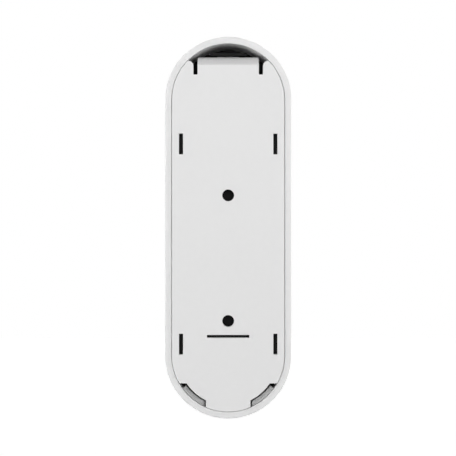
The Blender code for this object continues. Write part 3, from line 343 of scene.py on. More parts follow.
def mixed(tree, share, one, other):
    """The colour between two colours, by a share or a mask."""
    mix = add(tree, "ShaderNodeMixRGB", Fac=share, Color1=one, Color2=other)
    return mix.outputs["Color"]


def ranged(tree, value, start, end, low=0.0, high=1.0):
    """The value read between start and end, as a level between low and high."""
    limits = {"From_Min": start, "From_Max": end, "To_Min": low, "To_Max": high}
    return add(tree, "ShaderNodeMapRange", Value=value, **limits).outputs["Result"]


def relief(tree, strength, deep, height):
    """The normal of a fine relief that is this deep."""
    bump = add(tree, "ShaderNodeBump", Strength=strength, Distance=deep, Height=height)
    return bump.outputs["Normal"]


def feed(tree, target, **outputs):
    """Links each output to the target's socket of that name."""
    for name, output in outputs.items():
        tree.links.new(output, target.inputs[name.replace("_", " ")])


def object_place(tree):
    return add(tree, "ShaderNodeTexCoord").outputs["Object"]


def moulded_skin_group():
    """Plastic from a spark-eroded mould: a drift of tone, faint flow marks and a fine even grain."""
    tree, given, out = new_group(
        "moulded_skin",
        [
            ("Tone", "NodeSocketColor"),
            ("Drift Tone", "NodeSocketColor"),
            ("Grain Scale", "NodeSocketFloat"),
        ],
        [("Color", "NodeSocketColor"), ("Polish", "NodeSocketFloat"), ("Height", "NodeSocketFloat")],
    )
    place = object_place(tree)
    drift = add(tree, "ShaderNodeTexNoise", Vector=place, Scale=38.0, Detail=3.0, Roughness=0.5)
    flow = add(tree, "ShaderNodeTexNoise", Vector=place, Scale=420.0, Detail=4.0, Roughness=0.6)
    grain_scale = given.outputs["Grain Scale"]
    grain = add(tree, "ShaderNodeTexNoise", Vector=place, Scale=grain_scale, Detail=2.0)
    both = math_node(tree, "MULTIPLY", drift.outputs["Fac"], flow.outputs["Fac"])
    spread = ranged(tree, both, 0.15, 0.4)
    tone = mixed(tree, spread, given.outputs["Tone"], given.outputs["Drift Tone"])
    feed(tree, out, Color=tone, Polish=flow.outputs["Fac"], Height=grain.outputs["Fac"])
    return tree


def rubbed_edge_group():
    """Where edges catch hands and tools: a mask that is strong on sharp edges, broken up by noise."""
    tree, given, out = new_group(
        "rubbed_edge",
        [("Tone", "NodeSocketColor"), ("Rubbed Tone", "NodeSocketColor"), ("Radius", "NodeSocketFloat")],
        [("Color", "NodeSocketColor"), ("Mask", "NodeSocketFloat")],
    )
    rounded = add(tree, "ShaderNodeBevel", [("samples", 4)], Radius=given.outputs["Radius"])
    straight = add(tree, "ShaderNodeNewGeometry").outputs["Normal"]
    same = add(tree, "ShaderNodeVectorMath", [("operation", "DOT_PRODUCT")])
    tree.links.new(rounded.outputs["Normal"], same.inputs[0])
    tree.links.new(straight, same.inputs[1])
    edge = ranged(tree, same.outputs["Value"], 0.995, 0.85)
    breaks = add(tree, "ShaderNodeTexNoise", Vector=object_place(tree), Scale=900.0, Detail=3.0)
    mask = math_node(tree, "MULTIPLY", edge, breaks.outputs["Fac"])
    tone = mixed(tree, mask, given.outputs["Tone"], given.outputs["Rubbed Tone"])
    feed(tree, out, Color=tone, Mask=mask)
    return tree


def handled_gloss_group():
    """A polished face that has been handled: smears in the polish and a few specks of dust."""
    tree, given, out = new_group(
        "handled_gloss",
        [
            ("Smear Scale", "NodeSocketFloat"),
            ("Clean", "NodeSocketFloat"),
            ("Smeared", "NodeSocketFloat"),
        ],
        [("Roughness", "NodeSocketFloat"), ("Dust", "NodeSocketFloat"), ("Height", "NodeSocketFloat")],
    )
    place = object_place(tree)
    scale = given.outputs["Smear Scale"]
    smear = add(tree, "ShaderNodeTexNoise", Vector=place, Scale=scale, Detail=5.0, Distortion=1.5)
    smear = smear.outputs["Fac"]
    level = ranged(tree, smear, 0.35, 0.75, given.outputs["Clean"], given.outputs["Smeared"])
    specks = add(tree, "ShaderNodeTexVoronoi", Vector=place, Scale=700.0)
    dust = ranged(tree, specks.outputs["Distance"], 0.05, 0.02, 0.0, 0.35)
    feed(tree, out, Roughness=level, Dust=dust, Height=smear)
    return tree


MOULDED_SKIN = moulded_skin_group()
RUBBED_EDGE = rubbed_edge_group()
HANDLED_GLOSS = handled_gloss_group()


def use_group(tree, group, **inputs):
    return add(tree, "ShaderNodeGroup", [("node_tree", group)], **inputs)


def shade(colour, factor=1.0):
    return tuple(min(1.0, channel * factor) for channel in colour) + (1.0,)


def use_skin(tree, colour, drift, grain):
    """The moulded skin in a colour that drifts to a factor of itself."""
    tones = {"Tone": shade(colour), "Drift_Tone": shade(colour, drift)}
    return use_group(tree, MOULDED_SKIN, Grain_Scale=grain, **tones).outputs


def started(name):
    """A new material, its tree and its main shader."""
    look = bpy.data.materials.new(name)
    look.use_nodes = True
    return look, look.node_tree, look.node_tree.nodes["Principled BSDF"]


def moulded(name, colour, rough, grain=5200.0, bump=0.10, drift=0.965, rubbed=1.04, shine=0.5):
    """A moulded plastic or rubber with grain, tone drift and rubbed edges."""
    look, tree, shader = started(name)
    skin = use_skin(tree, colour, drift, grain)
    tones = {"Tone": skin["Color"], "Rubbed_Tone": shade(colour, rubbed)}
    edge = use_group(tree, RUBBED_EDGE, Radius=RUBBED_WIDE, **tones)
    polish = ranged(tree, skin["Polish"], 0.3, 0.7, rough - 0.05, rough + 0.05)
    normal = relief(tree, bump, 0.02 * MM, skin["Height"])
    feed(tree, shader, Base_Color=edge.outputs["Color"], Roughness=polish, Normal=normal)
    shader.inputs["Specular IOR Level"].default_value = shine
    return look


def polished(name, colour, clean, smeared, shine=0.5):
    """A glossy moulding or film that shows smears and dust."""
    look, tree, shader = started(name)
    gloss = use_group(tree, HANDLED_GLOSS, Smear_Scale=130.0, Clean=clean, Smeared=smeared).outputs
    tone = mixed(tree, gloss["Dust"], shade(colour), shade(DUST_TONE))
    normal = relief(tree, 0.03, 0.02 * MM, gloss["Height"])
    feed(tree, shader, Base_Color=tone, Roughness=gloss["Roughness"], Normal=normal)
    shader.inputs["Specular IOR Level"].default_value = shine
    return look


def let_light_through(look, weight, reach):
    """Light passes some way through the plastic, as it does in a pale thin wall."""
    shader = look.node_tree.nodes["Principled BSDF"]
    shader.inputs["Subsurface Weight"].default_value = weight
    shader.inputs["Subsurface Radius"].default_value = (1.0, 1.0, 1.0)
    shader.inputs["Subsurface Scale"].default_value = reach


def milky(name, colour):
    """A milky diffusing plastic."""
    look = moulded(name, colour, 0.32, grain=3000.0, bump=0.05)
    let_light_through(look, 0.35, 1.2 * MM)
    return look


def cell_edges(tree, scale, distance="EUCLIDEAN"):
    """How far a point is from the nearest edge of a net of cells."""
    settings = [("distance", distance), ("feature", "DISTANCE_TO_EDGE")]
    cells = add(tree, "ShaderNodeTexVoronoi", settings, Vector=object_place(tree), Scale=scale)
    return cells.outputs["Distance"]


def lenslet(name, colour):
    """The motion lens: milky film with a honeycomb of lenslets showing through."""
    look = milky(name, colour)
    tree = look.node_tree
    ridge = ranged(tree, cell_edges(tree, 520.0), 0.0, 0.12)
    normal = relief(tree, 0.35, 0.08 * MM, ridge)
    feed(tree, tree.nodes["Principled BSDF"], Normal=normal)
    return look


def metal(name, colour, rough, brush=(900.0, 60.0, 900.0)):
    """Plated or rolled metal with fine drawn lines and a slight tarnish."""
    look, tree, shader = started(name)
    along = add(tree, "ShaderNodeMapping", Vector=object_place(tree), Scale=brush).outputs["Vector"]
    lines = add(tree, "ShaderNodeTexNoise", Vector=along, Scale=6.0, Detail=3.0).outputs["Fac"]
    skin = use_skin(tree, colour, 0.86, 3500.0)
    polish = ranged(tree, lines, 0.0, 1.0, rough - 0.07, rough + 0.1)
    normal = relief(tree, 0.12, 0.01 * MM, lines)
    feed(tree, shader, Base_Color=skin["Color"], Roughness=polish, Normal=normal)
    shader.inputs["Metallic"].default_value = 1.0
    return look


def circuit(name):
    """A circuit board: green mask over a faint net of tracks."""
    look, tree, shader = started(name)
    track = ranged(tree, cell_edges(tree, 480.0, "MANHATTAN"), 0.08, 0.05)
    tones = {"Tone": shade(BOARD_MASK), "Drift_Tone": shade(BOARD_MASK_DARK)}
    skin = use_group(tree, MOULDED_SKIN, Grain_Scale=2500.0, **tones).outputs
    tone = mixed(tree, track, skin["Color"], shade(BOARD_TRACK))
    polish = ranged(tree, skin["Polish"], 0.0, 1.0, 0.3, 0.5)
    normal = relief(tree, 0.3, 0.03 * MM, track)
    feed(tree, shader, Base_Color=tone, Roughness=polish, Normal=normal)
    return look


def glass(name, tint, clean, ior):
    """Clear or smoked glass with faint smears."""
    look, tree, shader = started(name)
    smeared = clean + 0.05
    gloss = use_group(tree, HANDLED_GLOSS, Smear_Scale=180.0, Clean=clean, Smeared=smeared).outputs
    tone = mixed(tree, gloss["Dust"], shade(tint), shade(tint, 0.8))
    feed(tree, shader, Base_Color=tone, Roughness=gloss["Roughness"])
    shader.inputs["Transmission Weight"].default_value = 1.0
    shader.inputs["IOR"].default_value = ior
    return look


def grey(level):
    """A neutral colour."""
    return (level, level, level)


BLACK_WORN = {"drift": 0.8, "rubbed": 1.8}
LOOKS = {
    "white_plastic": moulded("shell_white", grey(0.728), 0.42, drift=0.985, shine=0.4),
    "plate_plastic": moulded("plate_white", grey(0.735), 0.50, grain=4200.0, drift=0.985, shine=0.35),
    "black_plastic": moulded("inner_black", grey(0.009), 0.6, bump=0.2, shine=0.1, **BLACK_WORN),
    "gloss_black": polished("fascia_black", (0.006, 0.006, 0.007), 0.05, 0.13, shine=0.35),
    "grey_rubber": moulded("flap_rubber", grey(0.70), 0.68, grain=6500.0, bump=0.15, shine=0.35),
    "seal_silicone": moulded(
        "seal_silicone", (0.055, 0.055, 0.058), 0.6, drift=0.85, rubbed=1.5, shine=0.35
    ),
    "board_green": circuit("circuit_board"),
    "nickel": metal("nickel_plate", (0.72, 0.70, 0.66), 0.28),
    "screw_steel": metal("zinc_steel", (0.33, 0.33, 0.34), 0.36, (400.0, 400.0, 400.0)),
    "cell_sleeve": polished("cell_film", (0.03, 0.12, 0.34), 0.22, 0.38),
    "chip_black": moulded("chip_resin", (0.02, 0.02, 0.022), 0.5, grain=2500.0, bump=0.3, **BLACK_WORN),
    "lens_glass": glass("coated_glass", (0.62, 0.55, 0.85), 0.01, 1.6),
    "clear_window": glass("smoked_window", (0.42, 0.42, 0.44), 0.01, 1.33),
    "milky_plastic": milky("light_guide", (0.70, 0.71, 0.72)),
    "antenna_copper": metal("antenna_copper", (0.72, 0.40, 0.24), 0.35),
    "lead_red": moulded("lead_red", (0.45, 0.02, 0.015), 0.45, drift=0.85, rubbed=1.2),
    "lead_black": moulded("lead_black", grey(0.015), 0.45, drift=0.85, rubbed=1.8),
}
let_light_through(LOOKS["white_plastic"], 0.3, 2.2 * MM)
MOTION_FILM = lenslet("motion_film", (0.66, 0.66, 0.67))


# ---------------------------------------------------------------- shape tools


def spot(across, upward, along, axis):
    point = [0.0, 0.0, 0.0]
    for value, index in zip((across, upward, along), AXES[axis]):
        point[index] = value
    return Vector(point)


def arc(centre, radius, start, end, steps=FILLET_STEPS):
    """Points on an arc between two angles in degrees, both ends included."""
    angles = [math.radians(start + (end - start) * i / steps) for i in range(steps + 1)]
    return [(centre[0] + radius * math.cos(a), centre[1] + radius * math.sin(a)) for a in angles]


def circle(centre, radius, steps=ROUND_STEPS):
    return arc(centre, radius, 0.0, 360.0, steps)[:-1]


def capsule(radius, top, bottom, steps=END_STEPS):
    return arc((0.0, top), radius, 0.0, 180.0, steps) + arc((0.0, bottom), radius, 180.0, 360.0, steps)


def rounded_box(centre, half_u, half_v, radius, steps=FILLET_STEPS):
    """A rectangle's outline with round corners, run anticlockwise."""
    outline = []
    for turn, (u, v) in enumerate(((1, 1), (-1, 1), (-1, -1), (1, -1))):
        corner = (centre[0] + u * (half_u - radius), centre[1] + v * (half_v - radius))
        outline += arc(corner, radius, 90.0 * turn, 90.0 * turn + 90.0, steps)
    return outline


def band(outer, inner, centre, start, end, steps=48):
    return arc(centre, outer, start, end, steps) + arc(centre, inner, end, start, steps)


def mirrored(outline):
    return [(-u, v) for u, v in reversed(outline)]


def linked(name, mesh):
    obj = bpy.data.objects.new(name, mesh)
    bpy.context.scene.collection.objects.link(obj)
    return obj


def loft(name, loops, axis="Y", ring=False):
    """A closed object through loops of equal length, each (outline, distance along)."""
    build = bmesh.new()
    rows = [[build.verts.new(spot(u, v, along, axis)) for u, v in loop] for loop, along in loops]
    pairs = list(zip(rows, rows[1:]))
    if ring:
        pairs.append((rows[-1], rows[0]))
    else:
        build.faces.new(rows[0])
        build.faces.new(rows[-1])
    for one, other in pairs:
        for i, corner in enumerate(one):
            j = (i + 1) % len(one)
            build.faces.new((corner, one[j], other[j], other[i]))
    bmesh.ops.recalc_face_normals(build, faces=build.faces)
    mesh = bpy.data.meshes.new(name)
    build.to_mesh(mesh)
    build.free()
    return linked(name, mesh)


def turned(name, centre, profile, axis="Y", ring=False, steps=ROUND_STEPS):
    """A turned piece from (radius, distance along) pairs."""
    return loft(name, [(circle(centre, radius, steps), along) for radius, along in profile], axis, ring)


def sheet_of(name, outlines, back, front, edge):
    """A flat moulding in the XZ plane with rounded edges: an outer outline, then those of its holes."""
    curve = bpy.data.curves.new(name, "CURVE")
    curve.dimensions = "2D"
    curve.fill_mode = "BOTH"
    curve.bevel_depth = edge
    curve.bevel_resolution = 3
    curve.offset = -edge
    curve.extrude = (back - front) / 2 - edge
    for number, outline in enumerate(outlines):
        ordered = outline if number == 0 else outline[::-1]
        spline = curve.splines.new("POLY")
        spline.points.add(len(ordered) - 1)
        for point, (x, z) in zip(spline.points, ordered):
            point.co = (x, z, 0.0, 1.0)
        spline.use_cyclic_u = True
    holder = linked(name + "_curve", curve)
    mesh = bpy.data.meshes.new_from_object(holder.evaluated_get(bpy.context.evaluated_depsgraph_get()))
    mesh.name = name
    bpy.data.objects.remove(holder)
    mesh.transform(Matrix.Rotation(math.radians(90.0), 4, "X"))
    mesh.transform(Matrix.Translation((0.0, (back + front) / 2, 0.0)))
    build = bmesh.new()
    build.from_mesh(mesh)
    bmesh.ops.remove_doubles(build, verts=build.verts, dist=0.001 * MM)
    bmesh.ops.recalc_face_normals(build, faces=build.faces)
    build.to_mesh(mesh)
    build.free()
    return linked(name, mesh)


def apply_all(obj):
    """Makes the object's modifiers part of its mesh."""
    graph = bpy.context.evaluated_depsgraph_get()
    mesh = bpy.data.meshes.new_from_object(obj.evaluated_get(graph))
    obj.modifiers.clear()
    old = obj.data
    obj.data = mesh
    bpy.data.meshes.remove(old)
    mesh.name = obj.name


def combine(target, others, operation):
    """Boolean of an object with each of the others, which are used up."""
    for other in others:
        modifier = target.modifiers.new(other.name, "BOOLEAN")
        modifier.operation = operation
        modifier.solver = "EXACT"
        modifier.object = other
    apply_all(target)
    for other in others:
        bpy.data.objects.remove(other)


def finished(obj, body, slot, replaces, look=None, sharp=32.0):
    """Gives a piece its finish, its body and the CAD nodes that it stands for."""
    obj.data.materials.clear()
    obj.data.materials.append(look or LOOKS[slot])
    obj.data.shade_smooth()
    obj.data.set_sharp_from_angle(angle=math.radians(sharp))
    modifier = obj.modifiers.new("face_weights", "WEIGHTED_NORMAL")
    modifier.keep_sharp = True
    apply_all(obj)
    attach(obj, body)
    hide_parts(*replaces)
    return obj


# ---------------------------------------------------------------- the wall plate


def tab_curve():
    """The tab's outer surface above its crease as (y, z, tilt) at equal steps, and its whole length."""
    y = z = 0.0
    stations = []
    for i in range(BEND_STEPS + 1):
        turn = math.radians(BEND_TILT + (90.0 - BEND_TILT) * (i / BEND_STEPS) ** BEND_EASE)
        stations.append((y, z, turn))
        y -= math.sin(turn) / BEND_STEPS
        z += math.cos(turn) / BEND_STEPS
    length = (TAB_TOP - BEND_START) / stations[-1][1]
    return [(y * length, BEND_START + z * length, turn) for y, z, turn in stations], length


TAB_CURVE, BEND_LENGTH = tab_curve()
BEND_Y = TAB_CURVE[-1][0]


def plate_outline():
    """The plate before its tab is bent."""
    shoulder_z = END_Z + math.sqrt(PLATE_R**2 - SHOULDER_HALF**2)
    slot_x = TAB_HALF + RELIEF_WIDE
    slot_z = TAB_TOP - RELIEF_DEEP
    corner = (slot_x + SHOULDER_ROUND, shoulder_z - SHOULDER_ROUND)
    rise = math.degrees(math.acos(SHOULDER_HALF / PLATE_R))
    notch_r = PLATE_R - NOTCH_FLOOR
    notch_start = -math.degrees(math.asin(NOTCH_TOP_DROP / PLATE_R))
    floor_start = -math.degrees(math.asin(NOTCH_TOP_DROP / notch_r))
    floor_end = -math.degrees(math.acos(NOTCH_SIDE_X / notch_r))
    side_end = -math.degrees(math.acos(NOTCH_SIDE_X / PLATE_R))
    low = (0.0, -END_Z)
    right = [(TAB_HALF, BEND_START + BEND_LENGTH + SHELF_REACH + BEND_Y)]
    right += arc((TAB_HALF + RELIEF_ROUND, slot_z + RELIEF_ROUND), RELIEF_ROUND, 180.0, 270.0, 4)
    right += arc((slot_x - RELIEF_ROUND, slot_z + RELIEF_ROUND), RELIEF_ROUND, 270.0, 360.0, 4)
    right += arc(corner, SHOULDER_ROUND, 180.0, 90.0, 12)
    right += arc((0.0, END_Z), PLATE_R, rise, 0.0, END_STEPS // 4)
    right += arc(low, PLATE_R, 0.0, notch_start, END_STEPS // 6)
    right += arc(low, notch_r, floor_start, floor_end, END_STEPS // 6)
    right += arc(low, PLATE_R, side_end, -89.0, END_STEPS // 6)
    return (right + mirrored(right))[::-1]


def bent(point):
    """Where a point of the flat tab goes: it tips forward at a crease, then curves into its shelf."""
    past = point.z - BEND_START
    if past < -SAME or abs(point.x) > TAB_HALF + RELIEF_WIDE / 2:
        return point
    step = min(round(past / BEND_LENGTH * BEND_STEPS), BEND_STEPS)
    y, z, turn = TAB_CURVE[step]
    mitre = BEND_START + point.y * math.tan(math.radians(BEND_TILT / 2))
    y += point.y * math.cos(turn) - max(past - BEND_LENGTH, 0.0)
    z += point.y * math.sin(turn)
    return Vector((point.x, min(y, point.y), max(z, mitre)))


def make_plate():
    holes = [circle((0.0, z), SCREW_HOLE_R) for z in SCREW_HOLES_Z]
    for x in (-FIN_SLOT_X, FIN_SLOT_X):
        holes += [rounded_box((x, z), *FIN_SLOT, SLOT_ROUND, 4) for z in FIN_SLOTS_Z]
    holes.append(rounded_box((0.0, LATCH_SLOT_Z), *LATCH_SLOT, SLOT_ROUND, 4))
    plate = sheet_of("wall_plate_body", [plate_outline()] + holes, 0.0, -PLATE_THICK, PLATE_EDGE)
    build = bmesh.new()
    build.from_mesh(plate.data)
    for i in range(BEND_STEPS + 1):
        everything = build.verts[:] + build.edges[:] + build.faces[:]
        level = (0.0, 0.0, BEND_START + BEND_LENGTH * i / BEND_STEPS)
        bmesh.ops.bisect_plane(build, geom=everything, plane_co=level, plane_no=(0.0, 0.0, 1.0))
    for corner in build.verts:
        corner.co = bent(corner.co)
    build.to_mesh(plate.data)
    build.free()
    lip_z = (TAB_TOP - PLATE_THICK + LIP_TOP) / 2
    lip_half = (LIP_TOP - TAB_TOP + PLATE_THICK) / 2
    lip_y = -SHELF_REACH - LIP_THICK / 2
    outline = rounded_box((lip_y + PAST / 2, lip_z), LIP_THICK / 2 + PAST / 2, lip_half, PAST / 2)
    lip = loft("plate_lip", [(outline, -LIP_HALF), (outline, LIP_HALF)], "X")
    combine(plate, [lip], "UNION")
    finished(plate, "wall_plate", "plate_plastic", ["wall_plate"])


# ---------------------------------------------------------------- the shell


def flared(name, outline_at, radius, mouth_y, deep_y, flare=MOUTH_ROUND):
    """A cutter whose mouth opens by a small fillet where it meets the front face."""
    loops = [(outline_at(radius + flare), mouth_y - PAST)]
    for grow, y in arc((flare, mouth_y + flare), flare, 270.0, 180.0):
        loops.append((outline_at(radius + grow), y))
    loops.append((outline_at(radius), deep_y))
    return loft(name, loops)


def pad_outline():
    """A pad inside the shell's lower end, seen through the plate's notch."""
    low = (0.0, -END_Z)
    inner = PLATE_R - NOTCH_FLOOR + PAD_CLEAR
    side = NOTCH_SIDE_X + PAD_SIDE_CLEAR
    outer = INNER_R + PAST
    outer_end = -math.degrees(math.acos(side / outer))
    inner_end = -math.degrees(math.acos(side / inner))
    outside = arc(low, outer, -PAD_TOP_ANGLE, outer_end, 24)
    return (outside + arc(low, inner, inner_end, -PAD_TOP_ANGLE, 24))[::-1]


def slope_pad(mesh):
    """Raises a pad's back face towards the wall, so that it runs down into the notch like a cove."""
    inner = PLATE_R - NOTCH_FLOOR + PAD_CLEAR
    for corner in mesh.vertices:
        reach = math.hypot(corner.co.x, corner.co.z + END_Z) - inner
        if corner.co.y > (PAD_Y[0] + PAD_Y[1]) / 2:
            corner.co.y += PAD_SLOPE * max(0.0, min(reach / (INNER_R - inner), 1.0))


def make_shell():
    """The white sleeve with its front, its round edges and the two pads inside its lower end."""
    profile = [(INNER_R, INNER_FRONT_Y)]
    profile += arc((INNER_R + RIM_INNER_ROUND, RIM_Y - RIM_INNER_ROUND), RIM_INNER_ROUND, 180.0, 90.0, 4)
    profile += arc((END_R - RIM_ROUND, RIM_Y - RIM_ROUND), RIM_ROUND, 90.0, 0.0)
    profile += arc((END_R - EDGE_ROUND, FRONT_Y + EDGE_ROUND), EDGE_ROUND, 0.0, -90.0, 20)
    shell = loft("shell_body", [(capsule(radius, END_Z, -END_Z), y) for radius, y in profile])
    pads = []
    for i, outline in enumerate((pad_outline(), mirrored(pad_outline()))):
        pad = sheet_of(f"pad_{i}", [outline], *PAD_Y, PAD_EDGE)
        slope_pad(pad.data)
        pads.append(pad)
    combine(shell, pads, "UNION")
    combine(shell, front_cutters() + underside_cutters(), "DIFFERENCE")
    finished(shell, "doorbell", "white_plastic", ["outer_shell"])


def front_cutters():
    """The fascia's recess, the button's hole, and what opens behind the fascia."""
    low_z = FASCIA_LOW.z + FASCIA_R
    recess = flared(
        "cut_recess", lambda r: capsule(r, END_Z, low_z), FASCIA_R + GAP, FRONT_Y, FASCIA_HIGH.y + GAP
    )
    span = (FRONT_Y, INNER_FRONT_Y + PAST)
    hole = flared("cut_button", lambda r: circle((0.0, BUTTON_Z), r), RING_OUTER_R + GAP, *span)
    camera = turned("cut_camera", (0.0, CAMERA_Z), [(BARREL_HIGH.x + 2 * GAP, y) for y in span])
    motion = turned("cut_motion", (0.0, MOTION_Z), [(MOTION_R + GAP, y) for y in span])
    return [recess, hole, camera, motion]


def underside_cutters():
    """Speaker slots with round ends, and the charging port's recess and opening."""
    bottom = -END_Z - END_R - PAST
    inner = -END_Z - INNER_R + 2 * PAST
    cutters = []
    middle = (SPEAKER_LOW.y + SPEAKER_HIGH.y) / 2
    for i in range(SPEAKER_SLOTS):
        y = middle + (i - SPEAKER_SLOTS // 2) * SPEAKER_PITCH
        outline = rounded_box((0.0, y), *SPEAKER_SLOT)
        cutters.append(loft(f"cut_slot_{i}", [(outline, bottom), (outline, inner)], "Z"))
    half = math.degrees(math.asin((FLAP_HIGH.x + GAP) / END_R))
    recess = band(END_R + PAST, END_R - PORT_SUNK, (0.0, -END_Z), -90.0 - half, -90.0 + half)
    ends = [(recess, FLAP_LOW.y - GAP), (recess, FLAP_HIGH.y + GAP)]
    cutters.append(loft("cut_port_recess", ends))
    centre = ((SOCKET_LOW.x + SOCKET_HIGH.x) / 2, (SOCKET_LOW.y + SOCKET_HIGH.y) / 2)
    deep = (SOCKET_HIGH.y - SOCKET_LOW.y) / 2
    port = rounded_box(centre, SOCKET_HIGH.x + GAP, deep + GAP, PORT_ROUND)
    cutters.append(loft("cut_port", [(port, bottom), (port, inner)], "Z"))
    return cutters


# ---------------------------------------------------------------- the front


def make_fascia():
    """The gloss black panel, with round holes for the window, the motion lens and the microphone."""
    low_z = FASCIA_LOW.z + FASCIA_R
    mic = ((MIC_LOW.x + MIC_HIGH.x) / 2, (MIC_LOW.z + MIC_HIGH.z) / 2)
    outlines = [
        capsule(FASCIA_R, END_Z, low_z),
        circle((0.0, CAMERA_Z), WINDOW_R + GAP),
        circle((0.0, MOTION_Z), MOTION_R + GAP),
        circle(mic, MIC_HOLE_R, 24),
    ]
    fascia = sheet_of("fascia_face", outlines, FASCIA_HIGH.y, FASCIA_LOW.y, FASCIA_EDGE)
    finished(fascia, "doorbell", "gloss_black", ["front_fascia"])


def make_camera_front():
    """The camera's window and its front lens, a dome in the barrel."""
    centre = (0.0, CAMERA_Z)
    pane = [(WINDOW_R - GLASS_EDGE, WINDOW_HIGH.y), (WINDOW_R, WINDOW_HIGH.y - GLASS_EDGE)]
    pane += arc((WINDOW_R - GLASS_EDGE, WINDOW_LOW.y + GLASS_EDGE), GLASS_EDGE, 0.0, -90.0)
    window = turned("window_pane", centre, pane)
    finished(window, "doorbell", "clear_window", ["camera_window"])
    radius = LENS_HIGH.x
    dome = [(radius, LENS_HIGH.y), (radius, LENS_HIGH.y - GAP)]
    tall = LENS_HIGH.y - GAP - LENS_LOW.y
    for i in range(1, DOME_STEPS):
        turn = math.radians(90.0 * i / DOME_STEPS)
        dome.append((radius * math.cos(turn), LENS_HIGH.y - GAP - tall * math.sin(turn)))
    finished(turned("lens_dome", centre, dome), "doorbell", "lens_glass", ["front_lens"])
    make_barrel(centre)


def make_barrel(centre):
    """The lens barrel, with steps inside its mouth that keep stray light out."""
    head_r = BARREL_HIGH.x
    front = BARREL_LOW.y
    back = BARREL_HIGH.y
    seat = LENS_HIGH.y + GAP
    socket = LENS_HIGH.x + 0.15 * MM
    neck = front + BARREL_HEAD_TALL
    profile = [(BARREL_TUBE_R, back), (BARREL_TUBE_R, neck), (head_r - SMALL_ROUND, neck)]
    profile += [(head_r, neck - SMALL_ROUND), (head_r, front + 0.3 * MM), (head_r - 0.3 * MM, front)]
    for i in range(BAFFLES):
        radius = socket + (head_r - 0.6 * MM - socket) * (1.0 - i / BAFFLES)
        deep = front + BAFFLE_PITCH * i
        profile += [(radius, deep), (radius, deep + BAFFLE_STEP)]
    profile += [(socket, front + 1.0 * MM), (socket, seat)]
    profile += [(BARREL_BORE_R, seat), (BARREL_BORE_R, back)]
    barrel = turned("barrel_body", centre, profile, ring=True)
    finished(barrel, "doorbell", "black_plastic", ["lens_barrel"])


def make_motion_lens():
    """The motion lens: a low dome with ring grooves, hollow behind, held by its flange."""
    centre = (0.0, MOTION_Z)
    flange = MOTION_HIGH.x
    back = MOTION_HIGH.y
    rim = back - FLANGE_THICK
    proud = FRONT_Y - MOTION_LOW.y
    inner = MOTION_R - MOTION_WALL
    profile = [(inner, back), (flange, back), (flange, rim)]
    profile += [(MOTION_R, rim), (MOTION_R, FRONT_Y + 0.1 * MM)]
    for i in range(1, FRESNEL_STEPS):
        turn = math.radians(90.0 * i / FRESNEL_STEPS)
        groove = FRESNEL_DEEP * (i % FRESNEL_EVERY == FRESNEL_EVERY - 1)
        profile.append((MOTION_R * math.cos(turn) ** 0.8, FRONT_Y - proud * math.sin(turn) + groove))
    lens = turned("motion_dome", centre, profile)
    hollow = turned("cut_dome", centre, [(inner, back + PAST), (inner, FRONT_Y + MOTION_WALL)])
    combine(lens, [hollow], "DIFFERENCE")
    finished(lens, "doorbell", "milky_plastic", ["motion_lens"], MOTION_FILM)


def make_button():
    """The call button: a gloss disc, lightly dished, with a round edge, in its light ring."""
    centre = (0.0, BUTTON_Z)
    front = BUTTON_LOW.y
    flange = BUTTON_HIGH.x
    flange_front = RING_HIGH.y + GAP
    flange_back = flange_front + 1.0 * MM
    profile = [(BUTTON_STEM_R, BUTTON_HIGH.y), (BUTTON_STEM_R, flange_back)]
    profile += [(flange, flange_back), (flange, flange_front), (BUTTON_R, flange_front)]
    profile += arc((BUTTON_R - BUTTON_EDGE, front + BUTTON_EDGE), BUTTON_EDGE, 0.0, -90.0, 10)
    inside = BUTTON_R - 1.5 * MM
    for i in range(1, DISH_STEPS):
        share = i / DISH_STEPS
        deep = BUTTON_DISH * math.sin(math.radians(90.0 * share))
        profile.append((inside * (1.0 - share) + 0.02 * MM, front + deep))
    finished(turned("button_cap", centre, profile), "button", "gloss_black", ["call_button"])
    make_light_ring(centre)


def make_light_ring(centre):
    """The light guide round the button, flush with the front and held by a flange behind it."""
    inner = BUTTON_R + GAP
    back = RING_HIGH.y
    flange_front = back - FLANGE_THICK
    profile = [(inner, back), (RING_FLANGE_R, back), (RING_FLANGE_R, flange_front)]
    profile += [(RING_OUTER_R, flange_front)]
    profile += arc((RING_OUTER_R - RING_EDGE, FRONT_Y + RING_EDGE), RING_EDGE, 0.0, -90.0, 6)
    profile += arc((inner + RING_EDGE, FRONT_Y + RING_EDGE), RING_EDGE, -90.0, -180.0, 6)
    ring = turned("light_guide_ring", centre, profile, ring=True)
    finished(ring, "doorbell", "milky_plastic", ["light_ring"])


# ---------------------------------------------------------------- the underside and the inner back


def make_flap():
    """The charging flap: a curved soft plate with round edges and a nub."""
    edge = FLAP_EDGE
    sides = arc((-edge, FLAP_LOW.y + edge), edge, -90.0, 0.0, 6)[1:]
    sides += arc((-edge, FLAP_HIGH.y - edge), edge, 0.0, 90.0, 6)[:-1]
    flap = loft("flap_plate", [(flap_outline(-inset), y) for inset, y in sides])
    middle = (SOCKET_LOW.y + SOCKET_HIGH.y) / 2
    top = FLAP_HIGH.z
    base = FLAP_LOW.z + FLAP_THICK
    nub = []
    for inset, z in [(0.0, base - PAST), (0.0, top - edge), (0.1 * MM, top - 0.1 * MM), (edge, top)]:
        half_x, half_y = (half - inset for half in FLAP_NUB)
        nub.append((rounded_box((0.0, middle), half_x, half_y, FLAP_NUB_ROUND), z))
    combine(flap, [loft("flap_nub", nub, "Z")], "UNION")
    finished(flap, "flap", "grey_rubber", ["charging_flap"])


